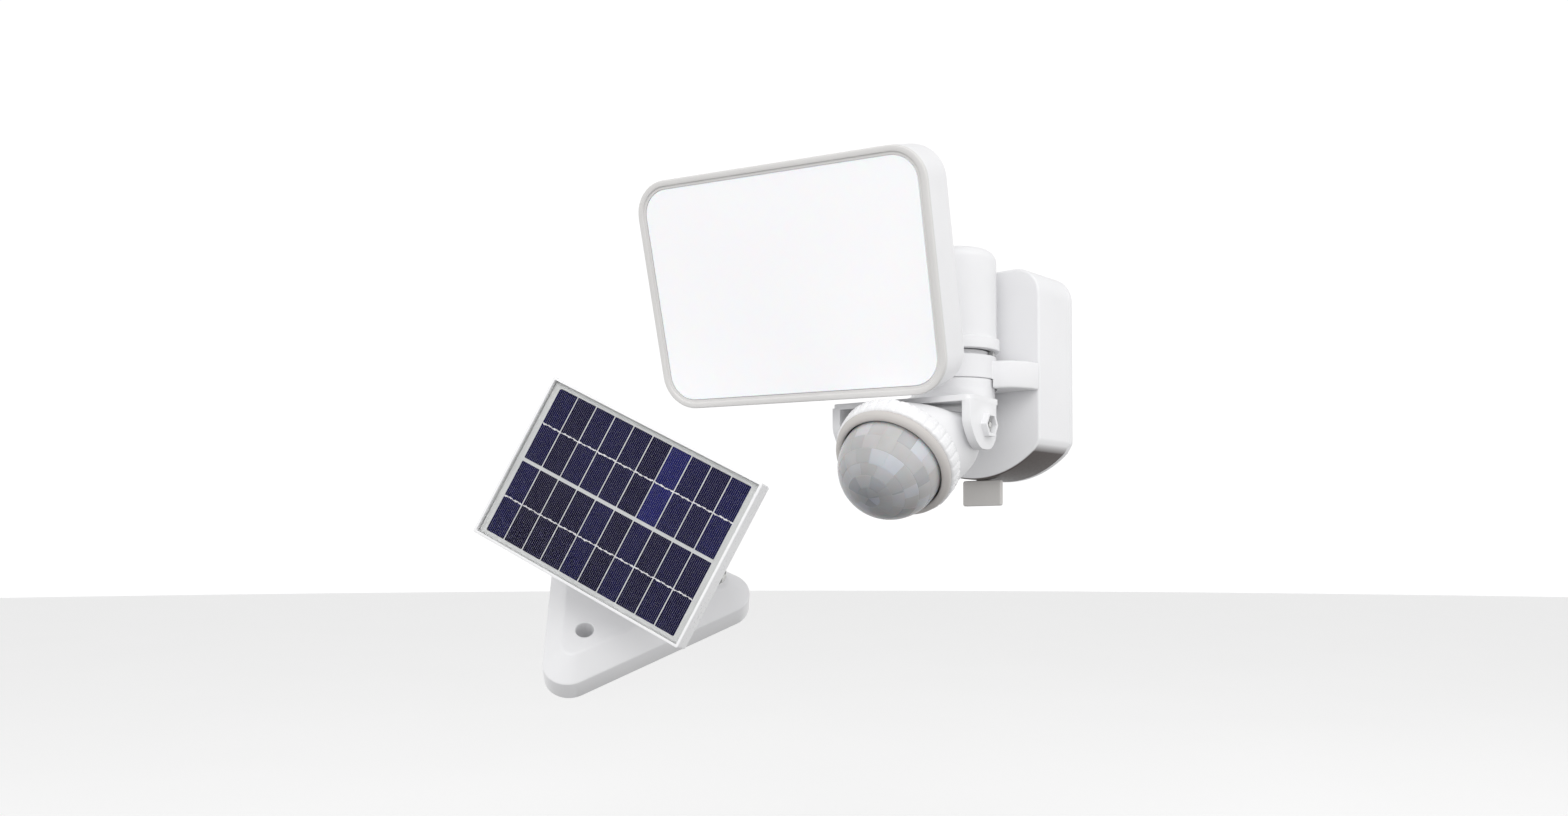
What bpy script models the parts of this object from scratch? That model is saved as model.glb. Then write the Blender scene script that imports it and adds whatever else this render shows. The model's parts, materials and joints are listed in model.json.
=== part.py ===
"""Solar flood light: a wall-mounted lamp with a motion sensor, and its separate solar panel on a triangular foot.

Frame: the wall is the plane y = 0, the lamp stands out along -Y, +Z is up, and the origin
is the middle of the wall plate's back face. Lengths below are in millimetres; MM turns
them into metres when a mesh is made.
"""
import math

import bmesh
import bpy
from mathutils import Matrix, Vector

MM = 0.001
GAP = 0.3            # air between pieces that touch on the real object

# ---- wall box
BOX_HALF_W = 47.8
BOX_TOP = 67.8
BOX_SIDE_BOTTOM = -46.4
BOX_SAG = 21.4       # the bottom edge bows down by this much
BOX_DEPTH = 44.7
BOX_WALL = 2.6
PLATE_T = 4.0

# ---- hub, on the vertical swivel axis
HUB_X, HUB_Y = 3.4, -74.6
HUB_R = 26.2
HUB_Z0, HUB_Z1 = -6.6, 11.4
ARM_Z0, ARM_Z1 = -12.4, 5.0
SLOT_Z = 8.0
SLOT_FROM, SLOT_TO = -46.0, 74.0

# ---- neck tube
NECK_R, NECK_TOP, NECK_FILLET = 26.6, 76.8, 8.0
COLLAR_R, COLLAR_Z0, COLLAR_Z1 = 28.5, 11.7, 19.4

# ---- lamp head (its own frame: +X along its width, -Y out of the lens, +Z up its face)
HEAD_W, HEAD_H, HEAD_T, HEAD_R = 190.0, 140.8, 40.0, 21.0
HEAD_CENTRE = (-38.2, -194.0, 42.3)      # middle of the front face
HEAD_PAN, HEAD_TILT = 12.8, 16.9         # degrees
PIVOT_BACK, PIVOT_DOWN = 60.0, 10.0      # tilt pivot, behind and below that middle

# ---- motion sensor (yoke frame: origin on the hub axis, -Y forward)
YOKE_PAN = 5.0
YOKE_HALF = 47.3
EAR_T = 5.5
PLATE_LOW, PLATE_HIGH = -28.2, -24.7
SENSOR_FWD, SENSOR_Z = 50.0, -41.0
SENSOR_PITCH = 38.0
DOME_D, DOME_R = 40.5, 31.0

# ---- solar panel unit (foot frame: origin at the middle of the foot's underside, +Z out of it)
FOOT_ORIGIN = (-199.3, -171.8, -152.4)
FOOT_YAW, FOOT_LEAN = 44.8, 50.6
FOOT_SIDE, FOOT_R = 174.8, 17.0
FOOT_WALL, FOOT_BEVEL = 16.0, 12.8
FOOT_TURN = 29.1
FOOT_HOLE_R, FOOT_HOLE_FROM_TIP = 5.8, 53.3
ROD_H = 86.6
PANEL_SWIVEL, PANEL_TILT = -35.3, 37.06
PANEL_W, PANEL_H, PANEL_T = 158.8, 111.2, 14.0
PANEL_OFF, PANEL_UP = 21.6, 6.9          # front face and middle, from the rod's axis

for old in list(bpy.data.objects):
    bpy.data.objects.remove(old, do_unlink=True)

COLL = bpy.context.scene.collection


# ------------------------------------------------------------------ small tools
def material(name, colour, rough, metal=0.0, alpha=1.0):
    m = bpy.data.materials.new(name)
    m.use_nodes = True
    b = m.node_tree.nodes["Principled BSDF"]
    b.inputs["Base Color"].default_value = (*colour, 1.0)
    b.inputs["Roughness"].default_value = rough
    b.inputs["Metallic"].default_value = metal
    b.inputs["Alpha"].default_value = alpha
    return m


WHITE = ((0.86, 0.86, 0.87), 0.42, 0.0)
GREY = ((0.62, 0.61, 0.59), 0.5, 0.0)
STEEL = ((0.6, 0.6, 0.6), 0.35, 1.0)
RUBBER = ((0.05, 0.05, 0.05), 0.8, 0.0)


def empty(name, location=(0, 0, 0), matrix=None, parent=None):
    e = bpy.data.objects.new(name, None)
    COLL.objects.link(e)
    if parent is not None:
        e.parent = parent
    if matrix is not None:
        e.matrix_basis = matrix
    e.location = Vector(location) * MM
    return e


def to_object(name, bm, look, parent=None, smooth=35.0):
    bmesh.ops.remove_doubles(bm, verts=bm.verts, dist=1e-4)
    bmesh.ops.recalc_face_normals(bm, faces=bm.faces)
    bmesh.ops.scale(bm, vec=(MM, MM, MM), verts=bm.verts)
    me = bpy.data.meshes.new(name)
    bm.to_mesh(me)
    bm.free()
    me.shade_smooth()
    me.set_sharp_from_angle(angle=math.radians(smooth))
    ob = bpy.data.objects.new(name, me)
    COLL.objects.link(ob)
    ob.parent = parent
    if look is not None:
        me.materials.append(material(name, *look))
    return ob


def skin(rings, cap=True):
    """A closed solid through rings with the same number of points; the first and last are capped."""
    bm = bmesh.new()
    rows = [[bm.verts.new(p) for p in ring] for ring in rings]
    n = len(rows[0])
    for a, b in zip(rows, rows[1:]):
        for i in range(n):
            j = (i + 1) % n
            bm.faces.new((a[i], a[j], b[j], b[i]))
    if cap:
        bm.faces.new(rows[0])
        bm.faces.new(list(reversed(rows[-1])))
    else:
        for i in range(n):
            j = (i + 1) % n
            bm.faces.new((rows[-1][i], rows[-1][j], rows[0][j], rows[0][i]))
    return bm


def lathe(profile, n=32, closed=False):
    """Turns (radius, z) points about Z. Open profiles start and end on a flat cap; closed ones are rings."""
    rings = [[(r * math.cos(2 * math.pi * i / n), r * math.sin(2 * math.pi * i / n), z) for i in range(n)] for r, z in profile]
    return skin(rings, cap=not closed)


def move(bm, matrix):
    bmesh.ops.transform(bm, matrix=matrix, verts=bm.verts)
    return bm


def along_x(bm):
    return move(bm, Matrix.Rotation(math.radians(90), 4, "Y"))


def along_y(bm):
    """+Z of the piece points along -Y."""
    return move(bm, Matrix.Rotation(math.radians(90), 4, "X"))


def shift(bm, x=0.0, y=0.0, z=0.0):
    return move(bm, Matrix.Translation((x, y, z)))


def rounded_rect(w, h, r, k=5):
    pts = []
    for cx, cy, a0 in ((w / 2 - r, h / 2 - r, 0), (-w / 2 + r, h / 2 - r, 90), (-w / 2 + r, -h / 2 + r, 180), (w / 2 - r, -h / 2 + r, 270)):
        for i in range(k + 1):
            a = math.radians(a0 + 90 * i / k)
            pts.append((cx + r * math.cos(a), cy + r * math.sin(a)))
    return pts


def block(x0, x1, y0, y1, z0, z1, bevel=0.0, segments=1):
    bm = bmesh.new()
    bmesh.ops.create_cube(bm, size=1.0)
    bmesh.ops.scale(bm, vec=(x1 - x0, y1 - y0, z1 - z0), verts=bm.verts)
    bmesh.ops.translate(bm, vec=((x0 + x1) / 2, (y0 + y1) / 2, (z0 + z1) / 2), verts=bm.verts)
    if bevel:
        bmesh.ops.bevel(bm, geom=bm.edges[:], offset=bevel, segments=segments, profile=0.5, affect="EDGES")
    return bm


def plate(outline, z0, z1, chamfer=0.0):
    """Extrudes an outline from z0 to z1; chamfer shrinks the top edge."""
    if not chamfer:
        return skin([[(x, y, z0) for x, y in outline], [(x, y, z1) for x, y in outline]])
    top = inset(outline, chamfer)
    return skin([[(x, y, z0) for x, y in outline], [(x, y, z1 - chamfer) for x, y in outline], [(x, y, z1) for x, y in top]])


def inset(outline, d):
    """Moves a convex outline's points inwards by d along its corner bisectors."""
    n = len(outline)
    area = sum(outline[i][0] * outline[(i + 1) % n][1] - outline[(i + 1) % n][0] * outline[i][1] for i in range(n))
    s = 1.0 if area > 0 else -1.0
    out = []
    for i in range(n):
        p0, p1, p2 = (Vector(outline[(i + k) % n]) for k in (-1, 0, 1))
        a, b = (p1 - p0).normalized(), (p2 - p1).normalized()
        na, nb = Vector((-a.y, a.x)) * s, Vector((-b.y, b.x)) * s
        m = (na + nb).normalized()
        out.append(tuple(p1 + m * (d / max(0.3, m.dot(na)))))
    return out


def cut(target, name, bm, parent=None):
    """Takes a cutter's volume out of a piece."""
    c = to_object(name, bm, None, parent)
    c.hide_render = True
    c.display_type = "WIRE"
    mod = target.modifiers.new(name, "BOOLEAN")
    mod.operation = "DIFFERENCE"
    mod.solver = "EXACT"
    mod.object = c


def join(target, name, bm, parent=None):
    """Adds a shape to a piece as one body."""
    c = to_object(name, bm, None, parent)
    c.hide_render = True
    c.display_type = "WIRE"
    mod = target.modifiers.new(name, "BOOLEAN")
    mod.operation = "UNION"
    mod.solver = "EXACT"
    mod.object = c


def screw(shank_r, shank_l, head_r, head_h, n=10):
    """A pan-head screw: the head sits on z = 0 and the shank runs down."""
    return lathe([(shank_r * 0.6, -shank_l), (shank_r, -shank_l + shank_r * 0.6), (shank_r, 0), (head_r, 0), (head_r, head_h * 0.5), (head_r * 0.7, head_h)], n)


def hex_nut(across, height, bore, n=12):
    """A hexagonal nut standing on z = 0, its bore open at both ends."""
    def hexr(a):
        return across / 2 / math.cos((a % (math.pi / 3)) - math.pi / 6)
    rings = []
    for r, z in (("o", 0), ("o", height), ("b", height), ("b", 0)):
        rings.append([((hexr(2 * math.pi * i / n) if r == "o" else bore) * math.cos(2 * math.pi * i / n), (hexr(2 * math.pi * i / n) if r == "o" else bore) * math.sin(2 * math.pi * i / n), z) for i in range(n)])
    return skin(rings, cap=False)


# ------------------------------------------------------------------ wall box
def box_outline(k=4, arc=14):
    """The box seen from the front, as (x, z): square shoulders at the top, a bowed bottom."""
    w, top, r = BOX_HALF_W, BOX_TOP, 18.0
    pts = []
    for i in range(k + 1):
        a = math.radians(90 * i / k)
        pts.append((w - r + r * math.cos(a), top - r + r * math.sin(a)))
    for i in range(k + 1):
        a = math.radians(90 + 90 * i / k)
        pts.append((-w + r + r * math.cos(a), top - r + r * math.sin(a)))
    rad = (w * w + BOX_SAG * BOX_SAG) / (2 * BOX_SAG)
    half = math.asin(w / rad)
    cz = BOX_SIDE_BOTTOM - BOX_SAG + rad
    pts.append((-w, BOX_SIDE_BOTTOM + 4.0))
    for i in range(1, arc):
        a = -math.pi / 2 - half * 0.965 + 2 * half * 0.965 * i / arc
        pts.append((rad * math.cos(a), cz + rad * math.sin(a)))
    pts.append((w, BOX_SIDE_BOTTOM + 4.0))
    return pts


def at_depth(outline, y):
    return [(x, y, z) for x, z in outline]


o0 = box_outline()
inner = inset(o0, BOX_WALL)
wall_box = to_object("wall_box", skin([
    at_depth(inset(o0, BOX_WALL), -BOX_DEPTH + BOX_WALL),
    at_depth(inset(o0, BOX_WALL), -PLATE_T - GAP),
    at_depth(o0, -PLATE_T - GAP),
    at_depth(o0, -BOX_DEPTH + 2.0),
    at_depth(inset(o0, 0.6), -BOX_DEPTH + 0.6),
    at_depth(inset(o0, 2.0), -BOX_DEPTH)]), WHITE)
cut(wall_box, "cut_inlet", shift(lathe([(5.6, -8), (5.6, 8)], 12), -6.0, -24.0, -64.0))
for i, sx in enumerate((-1, 1)):
    cut(wall_box, f"cut_hub_screw_{i}", shift(along_y(lathe([(2.3, -6), (2.3, 6)], 12)), HUB_X + sx * 30.0, -BOX_DEPTH, -3.7))
cut(wall_box, "cut_wire_way", shift(along_y(lathe([(5.0, -6), (5.0, 6)], 12)), HUB_X, -BOX_DEPTH, -3.7))

wall_plate = to_object("wall_plate", skin([
    at_depth(inset(o0, 0.6), 0.0), at_depth(o0, -0.6), at_depth(o0, -PLATE_T)]), WHITE)
for i, (x, z) in enumerate(((0.0, 50.0), (-30.0, -36.0), (30.0, -36.0))):
    cut(wall_plate, f"cut_wall_hole_{i}", shift(along_y(lathe([(2.6, -8), (2.6, 8)], 12)), x, 0, z))
SCREW_AT = ((-39.5, 54.0), (39.5, -38.0))
for i, (x, z) in enumerate(SCREW_AT):
    cut(wall_plate, f"cut_case_hole_{i}", shift(along_y(lathe([(1.9, -8), (1.9, 8)], 12)), x, 0, z))
    cut(wall_plate, f"cut_case_sink_{i}", shift(along_y(lathe([(3.6, -1.0), (3.6, 2.9)], 12)), x, 0, z))
    to_object(f"case_screw_{i + 1}", shift(move(screw(1.6, 14.0, 3.2, 1.4, 10), Matrix.Rotation(math.radians(-90), 4, "X")), x, -2.6, z), STEEL)

for i, (x, z) in enumerate(SCREW_AT):
    join(wall_box, f"case_post_{i}", shift(along_y(lathe([(3.8, 7.4), (3.8, BOX_DEPTH - 1.6)], 12)), x, 0, z))
    cut(wall_box, f"cut_case_thread_{i}", shift(along_y(lathe([(1.9, 0.0), (1.9, 19.0)], 12)), x, 0, z))
seal_out, seal_in = inset(o0, BOX_WALL + 0.5), inset(o0, BOX_WALL + 2.3)
to_object("box_seal", skin([at_depth(seal_in, -PLATE_T - GAP), at_depth(seal_out, -PLATE_T - GAP), at_depth(seal_out, -PLATE_T - 2.4), at_depth(seal_in, -PLATE_T - 2.4)], cap=False), RUBBER)

to_object("battery_holder", block(-32.0, 32.0, -9.2, -7.0, 3.0, 54.0, 0.8), ((0.05, 0.05, 0.055), 0.6))
for i in range(2):
    to_object(f"battery_cell_{i + 1}", shift(along_x(lathe([(3.0, -33.4), (9.1, -33.0), (9.1, 32.4), (2.8, 32.6), (2.8, 33.6)], 18)), 0, -18.8, 40.0 - i * 20.0), ((0.1, 0.22, 0.5), 0.4))
to_object("control_board", block(-33.0, 33.0, -12.6, -11.0, -36.0, 2.0), ((0.03, 0.18, 0.08), 0.5))

inlet = to_object("charge_inlet", shift(lathe([(2.6, -9.5), (5.2, -9.5), (5.2, -1.0), (7.0, -1.0), (7.0, 9.0), (1.2, 9.0), (1.2, 3.0), (2.6, 3.0)], 12, closed=True), -6.0, -24.0, -61.6), ((0.04, 0.04, 0.04), 0.5))

to_object("splash_guard", skin([
    [(x, -37.4, z) for x, z in rounded_rect(29.0, 17.0, 1.2, 2)],
    [(x, -33.9, z) for x, z in rounded_rect(29.0, 17.0, 1.2, 2)]]), ((0.56, 0.55, 0.53), 0.5))
guard = bpy.data.objects["splash_guard"]
guard.location.z = -76.6 * MM

# ------------------------------------------------------------------ hub and flared arm
hub_axis = empty("hub_axis", (HUB_X, HUB_Y, 0.0))


def arm_outline():
    right = [(HUB_R - 0.6, 2.0), (33.6, 6.1), (39.6, 13.6), (42.9, 21.6), (44.0, 29.3)]
    left = [(-HUB_R + 0.6, 2.0), (-34.4, 6.1), (-42.4, 13.6), (-48.4, 21.6), (-50.8, 29.3)]
    return right + list(reversed(left))


hub = to_object("hub_arm", plate(arm_outline(), ARM_Z0, ARM_Z1), WHITE, hub_axis)
join(hub, "hub_drum", lathe([(HUB_R, HUB_Z0), (HUB_R, HUB_Z1)], 36), hub_axis)
cut(hub, "cut_yoke_room", lathe([(26.8, -20), (26.8, HUB_Z0 + 0.01)], 36), hub_axis)
slot_outline = [(40 * math.cos(math.radians(a)), 40 * math.sin(math.radians(a))) for a in [SLOT_FROM + (SLOT_TO - SLOT_FROM) * i / 12 for i in range(13)]]
slot_outline += [(21.8 * math.cos(math.radians(a)), 21.8 * math.sin(math.radians(a))) for a in [SLOT_TO + (SLOT_FROM - SLOT_TO) * i / 12 for i in range(13)]]
cut(hub, "cut_slot", plate(slot_outline, SLOT_Z, HUB_Z1 + 3), hub_axis)
cut(hub, "cut_bore", lathe([(7.0, -20), (7.0, 20)], 18), hub_axis)
for i, sx in enumerate((-1, 1)):
    cut(hub, f"cut_hub_thread_{i}", shift(along_y(lathe([(1.9, -4.0), (1.9, 14.5)], 12)), sx * 30.0, 29.9, -3.7), hub_axis)
    to_object(f"hub_screw_{i + 1}", shift(move(screw(1.6, 14.0, 3.2, 2.2, 10), Matrix.Rotation(math.radians(-90), 4, "X")), HUB_X + sx * 30.0, -BOX_DEPTH + BOX_WALL + GAP, -3.7), STEEL)

# ------------------------------------------------------------------ neck: tube, collar, arm and fork
neck_axis = empty("neck_axis", (HUB_X, HUB_Y, 0.0))
dome_pts = [(NECK_R - NECK_FILLET + NECK_FILLET * math.cos(math.radians(a)), NECK_TOP - NECK_FILLET + NECK_FILLET * math.sin(math.radians(a))) for a in (0, 22, 45, 68, 90)]
neck = to_object("neck_tube", lathe([(16.0, 73.8), (21.5, 72.2), (23.0, 67.0), (23.0, 21.0), (5.0, 21.0), (5.0, 17.0), (23.4, 17.0), (23.4, COLLAR_Z0), (COLLAR_R, COLLAR_Z0),
                                    (COLLAR_R, COLLAR_Z1 - 0.5), (COLLAR_R - 1.0, COLLAR_Z1), (NECK_R, COLLAR_Z1 + 0.2)] + dome_pts, 32), WHITE, neck_axis)
to_object("swivel_bolt", lathe([(3.4, -25.6), (4.6, -25.0), (4.6, 21.4), (8.0, 21.4), (8.0, 26.0), (6.5, 27.0)], 12), STEEL, neck_axis)
stop_outline = [(r * math.cos(math.radians(a)), r * math.sin(math.radians(a))) for r, a in ((22.4, 14), (25.4, 14), (25.4, 26), (22.4, 26))]

PIVOT = None
ex = Vector((math.cos(math.radians(HEAD_PAN)), math.sin(math.radians(HEAD_PAN)), 0))
n_out = Vector((math.sin(math.radians(HEAD_PAN)) * math.cos(math.radians(HEAD_TILT)), -math.cos(math.radians(HEAD_PAN)) * math.cos(math.radians(HEAD_TILT)), -math.sin(math.radians(HEAD_TILT))))
ez = ex.cross(-n_out) * 1.0
if ez.z < 0:
    ez = -ez
PIVOT = Vector(HEAD_CENTRE) - n_out * PIVOT_BACK - ez * PIVOT_DOWN
to_pivot = PIVOT - Vector((HUB_X, HUB_Y, 0))
reach = math.hypot(to_pivot.x, to_pivot.y)
arm_turn = math.atan2(to_pivot.y, to_pivot.x)
PZ = PIVOT.z
FORK_R, FORK_IN, FORK_OUT = 8.0, 11.3, 16.5
arm_axis = empty("neck_arm_frame", (HUB_X, HUB_Y, PZ), Matrix.Rotation(arm_turn, 4, "Z"))
beam = skin([[(x, y, z) for y, z in rounded_rect(w, h, 4.0, 3)] for x, w, h in ((NECK_R - 1.6, 26.0, 40.0), (NECK_R + 6.0, 20.0, 34.0), (reach - 24.0, 17.0, 2 * FORK_OUT), (reach - 20.5, 17.0, 2 * FORK_OUT))])
neck_arm = to_object("neck_arm", beam, WHITE, arm_axis)
cut(neck_arm, "cut_neck_seat", shift(lathe([(NECK_R + GAP, -60), (NECK_R + GAP, 60)], 48), 0, 0, 0), arm_axis)
for nm, z0, z1 in (("fork_top", FORK_IN, FORK_OUT), ("fork_low", -FORK_OUT, -FORK_IN)):
    tongue = [(reach + FORK_R * math.cos(math.radians(a)), FORK_R * math.sin(math.radians(a))) for a in range(-90, 91, 15)] + [(reach - 23.0, 8.0), (reach - 23.0, -8.0)]
    join(neck_arm, nm, plate(tongue, z0, z1), arm_axis)
cut(neck_arm, "cut_fork_bore", shift(lathe([(2.6, -30), (2.6, 30)], 12), reach, 0, 0), arm_axis)
to_object("arm_screw_1", shift(move(screw(1.8, 9.0, 3.6, 2.4, 10), Matrix.Rotation(math.radians(-90), 4, "Y")), NECK_R - 4.6, 0, 9.0), STEEL, arm_axis)
to_object("arm_screw_2", shift(move(screw(1.8, 9.0, 3.6, 2.4, 10), Matrix.Rotation(math.radians(-90), 4, "Y")), NECK_R - 4.6, 0, -9.0), STEEL, arm_axis)
for i, z in enumerate((9.0, -9.0)):
    cut(neck_arm, f"cut_arm_thread_{i}", shift(along_x(lathe([(2.1, NECK_R - 6), (2.1, NECK_R + 8)], 12)), 0, 0, z), arm_axis)
    cut(neck, f"cut_neck_screw_{i}", shift(along_x(lathe([(2.1, NECK_R - 6), (2.1, NECK_R + 8)], 12)), 0, 0, z), arm_axis)
cut(neck, "cut_stop_slot", plate([(r * math.cos(math.radians(a)), r * math.sin(math.radians(a))) for r, a in ((22.1, 13), (25.7, 13), (25.7, 27), (22.1, 27))], 8.4, 15.3), neck_axis)
to_object("swivel_stop", plate(stop_outline, 8.4, 15.0), STEEL, neck_axis)

# ------------------------------------------------------------------ knuckle between the fork and the head
knuckle_axis = empty("knuckle_axis", PIVOT, Matrix.Rotation(math.radians(HEAD_PAN), 4, "Z"))
knuckle = to_object("knuckle", block(-10.3, 10.3, -7.0, 7.0, -11.0, 11.0, 1.2), WHITE, knuckle_axis)
cut(knuckle, "cut_knuckle_v", lathe([(2.2, -30), (2.2, 30)], 12), knuckle_axis)
cut(knuckle, "cut_knuckle_h", along_x(lathe([(2.2, -30), (2.2, 30)], 12)), knuckle_axis)
to_object("pan_screw_top", shift(screw(1.9, 13.2, 4.4, 2.6), z=FORK_OUT + GAP), STEEL, knuckle_axis)
to_object("pan_screw_low", shift(move(screw(1.9, 13.2, 4.4, 2.6), Matrix.Rotation(math.pi, 4, "X")), z=-FORK_OUT - GAP), STEEL, knuckle_axis)

# ------------------------------------------------------------------ lamp head
head_axis = empty("head_axis", PIVOT, Matrix.Rotation(math.radians(HEAD_PAN), 4, "Z") @ Matrix.Rotation(math.radians(HEAD_TILT), 4, "X"))
FY = -PIVOT_BACK          # front face, in the head's frame
CZ = PIVOT_DOWN           # middle of the face, above the pivot


def face(w, h, r, y, k=5):
    return [(x, y, CZ + z) for x, z in rounded_rect(w, h, r, k)]


def back_rings(w, h, r, t, fillet, y0, steps):
    """Side wall and rounded back edge of the housing, from y0 to the back."""
    rings = [face(w, h, r, y0)]
    for a in steps:
        s = fillet * (1 - math.cos(math.radians(a)))
        rings.append(face(w - 2 * s, h - 2 * s, max(1.5, r - s * 0.9), FY + t - fillet + fillet * math.sin(math.radians(a))))
    return rings


outer = back_rings(HEAD_W, HEAD_H, HEAD_R, HEAD_T, 9.0, FY + 3.4, (0, 22, 45, 67, 90))
hollow = back_rings(HEAD_W - 5.0, HEAD_H - 5.0, HEAD_R - 2.5, HEAD_T - 2.5, 7.5, FY + 3.4, (0, 30, 60, 90))
housing = to_object("head_housing", skin(list(reversed(hollow)) + outer), WHITE, head_axis)
BRACKET_AT = ((-19.3, 5.0), (19.3, -5.0))
for i, (x, z) in enumerate(BRACKET_AT):
    cut(housing, f"cut_bracket_hole_{i}", shift(along_y(lathe([(1.7, -9), (1.7, 9)], 12)), x, FY + HEAD_T, z), head_axis)
cut(housing, "cut_lead_hole", shift(along_y(lathe([(4.0, -9), (4.0, 9)], 12)), 0, FY + HEAD_T, -2.0), head_axis)
to_object("head_bezel", skin([face(HEAD_W - 10.4, HEAD_H - 10.4, HEAD_R - 5.2, FY + 3.1), face(HEAD_W, HEAD_H, HEAD_R, FY + 3.1), face(HEAD_W, HEAD_H, HEAD_R, FY + 0.8), face(HEAD_W - 1.4, HEAD_H - 1.4, HEAD_R - 0.7, FY),
                              face(HEAD_W - 6.6, HEAD_H - 6.6, HEAD_R - 3.3, FY), face(HEAD_W - 7.6, HEAD_H - 7.6, HEAD_R - 3.8, FY + 0.9), face(HEAD_W - 10.4, HEAD_H - 10.4, HEAD_R - 5.2, FY + 0.9)], cap=False), ((0.8, 0.79, 0.78), 0.45), head_axis)
to_object("head_lens", skin([face(HEAD_W - 11.0, HEAD_H - 11.0, HEAD_R - 5.5, FY + 1.0), face(HEAD_W - 11.0, HEAD_H - 11.0, HEAD_R - 5.5, FY + 3.2),
                             face(HEAD_W - 7.0, HEAD_H - 7.0, HEAD_R - 3.5, FY + 3.7), face(HEAD_W - 7.0, HEAD_H - 7.0, HEAD_R - 3.5, FY + 5.6)]), ((0.95, 0.94, 0.96), 0.35), head_axis)
to_object("reflector_tray", skin([face(HEAD_W - 14.0, HEAD_H - 14.0, 14.0, FY + 8.4), face(HEAD_W - 14.0, HEAD_H - 14.0, 14.0, FY + 9.6), face(HEAD_W - 30.0, HEAD_H - 30.0, 10.0, FY + 20.0), face(HEAD_W - 33.0, HEAD_H - 33.0, 8.5, FY + 20.0), face(HEAD_W - 17.0, HEAD_H - 17.0, 12.5, FY + 8.4)], cap=False), ((0.9, 0.9, 0.9), 0.3), head_axis)
to_object("led_board", skin([face(HEAD_W - 26.0, HEAD_H - 26.0, 12.0, FY + 20.6, 3), face(HEAD_W - 26.0, HEAD_H - 26.0, 12.0, FY + 22.2, 3)]), ((0.9, 0.9, 0.88), 0.4), head_axis)

BK = FY + HEAD_T + GAP     # back face of the housing
bracket = to_object("head_bracket", skin([[(x, BK, z) for x, z in rounded_rect(46.0, 22.0, 5.0, 3)], [(x, BK + 2.4, z) for x, z in rounded_rect(46.0, 22.0, 5.0, 3)], [(x, BK + 3.0, z) for x, z in rounded_rect(44.8, 20.8, 4.4, 3)]]), WHITE, head_axis)
for nm, x0, x1 in (("ear_left", -15.8, -10.7), ("ear_right", 10.7, 15.8)):
    ear = [(9.0 * math.cos(math.radians(a)), 9.0 * math.sin(math.radians(a))) for a in range(-90, 91, 18)] + [(BK + 1.5, 10.4), (BK + 1.5, -10.4)]
    join(bracket, nm, skin([[(x0, y, z) for y, z in ear], [(x1, y, z) for y, z in ear]]), head_axis)
cut(bracket, "cut_bracket_bore", along_x(lathe([(2.6, -30), (2.6, 30)], 12)), head_axis)
cut(bracket, "cut_bracket_lead", shift(along_y(lathe([(4.0, -9), (4.0, 9)], 12)), 0, BK, -2.0), head_axis)
for i, (x, z) in enumerate(BRACKET_AT):
    cut(bracket, f"cut_bracket_screw_{i}", shift(along_y(lathe([(1.7, -9), (1.7, 9)], 12)), x, BK, z), head_axis)
    to_object(f"bracket_screw_{i + 1}", shift(move(screw(1.4, 6.2, 2.8, 1.8, 10), Matrix.Rotation(math.radians(90), 4, "X")), x, FY + HEAD_T - 2.5 - GAP, z), STEEL, head_axis)
to_object("tilt_screw_left", shift(move(screw(1.9, 13.0, 4.4, 2.6), Matrix.Rotation(math.radians(-90), 4, "Y")), x=-15.8 - GAP), STEEL, head_axis)
to_object("tilt_screw_right", shift(move(screw(1.9, 13.0, 4.4, 2.6), Matrix.Rotation(math.radians(90), 4, "Y")), x=15.8 + GAP), STEEL, head_axis)

# ------------------------------------------------------------------ motion sensor: yoke
yoke_axis = empty("yoke_axis", (HUB_X, HUB_Y, 0.0), Matrix.Rotation(math.radians(YOKE_PAN), 4, "Z"))
yoke_plan = [(24.0, 8.0), (YOKE_HALF, -36.0), (YOKE_HALF, -68.3), (YOKE_HALF - 3.0, -71.3), (-YOKE_HALF + 3.0, -71.3), (-YOKE_HALF, -68.3), (-YOKE_HALF, -36.0), (-24.0, 8.0)]


def flare(n=48):
    """The yoke's top: a collar under the hub that widens in a hollow curve into the plate."""
    def reach_of(t):
        c, q = math.cos(t), math.sin(t)
        best = 0.0
        for (x0, y0), (x1, y1) in zip(yoke_plan, yoke_plan[1:] + yoke_plan[:1]):
            ex_, ey_ = x1 - x0, y1 - y0
            den = c * ey_ - q * ex_
            if abs(den) > 1e-9:
                d, u = (x0 * ey_ - y0 * ex_) / den, (x0 * q - y0 * c) / den
                if d > 0 and -1e-9 <= u <= 1 + 1e-9:
                    best = max(best, d)
        return max(25.5, best)
    angles = sorted([2 * math.pi * i / n for i in range(n)] + [math.atan2(y, x) % (2 * math.pi) for x, y in yoke_plan if y < 0])
    rows = []
    for z, share in ((PLATE_LOW, 1.0), (PLATE_HIGH, 1.0), (-23.6, 0.62), (-21.6, 0.34), (-18.4, 0.13), (-14.6, 0.02), (HUB_Z0 - GAP, 0.0)):
        rows.append([((25.5 + (reach_of(t) - 25.5) * share) * math.cos(t), (25.5 + (reach_of(t) - 25.5) * share) * math.sin(t), z) for t in angles])
    return skin(rows)


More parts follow.
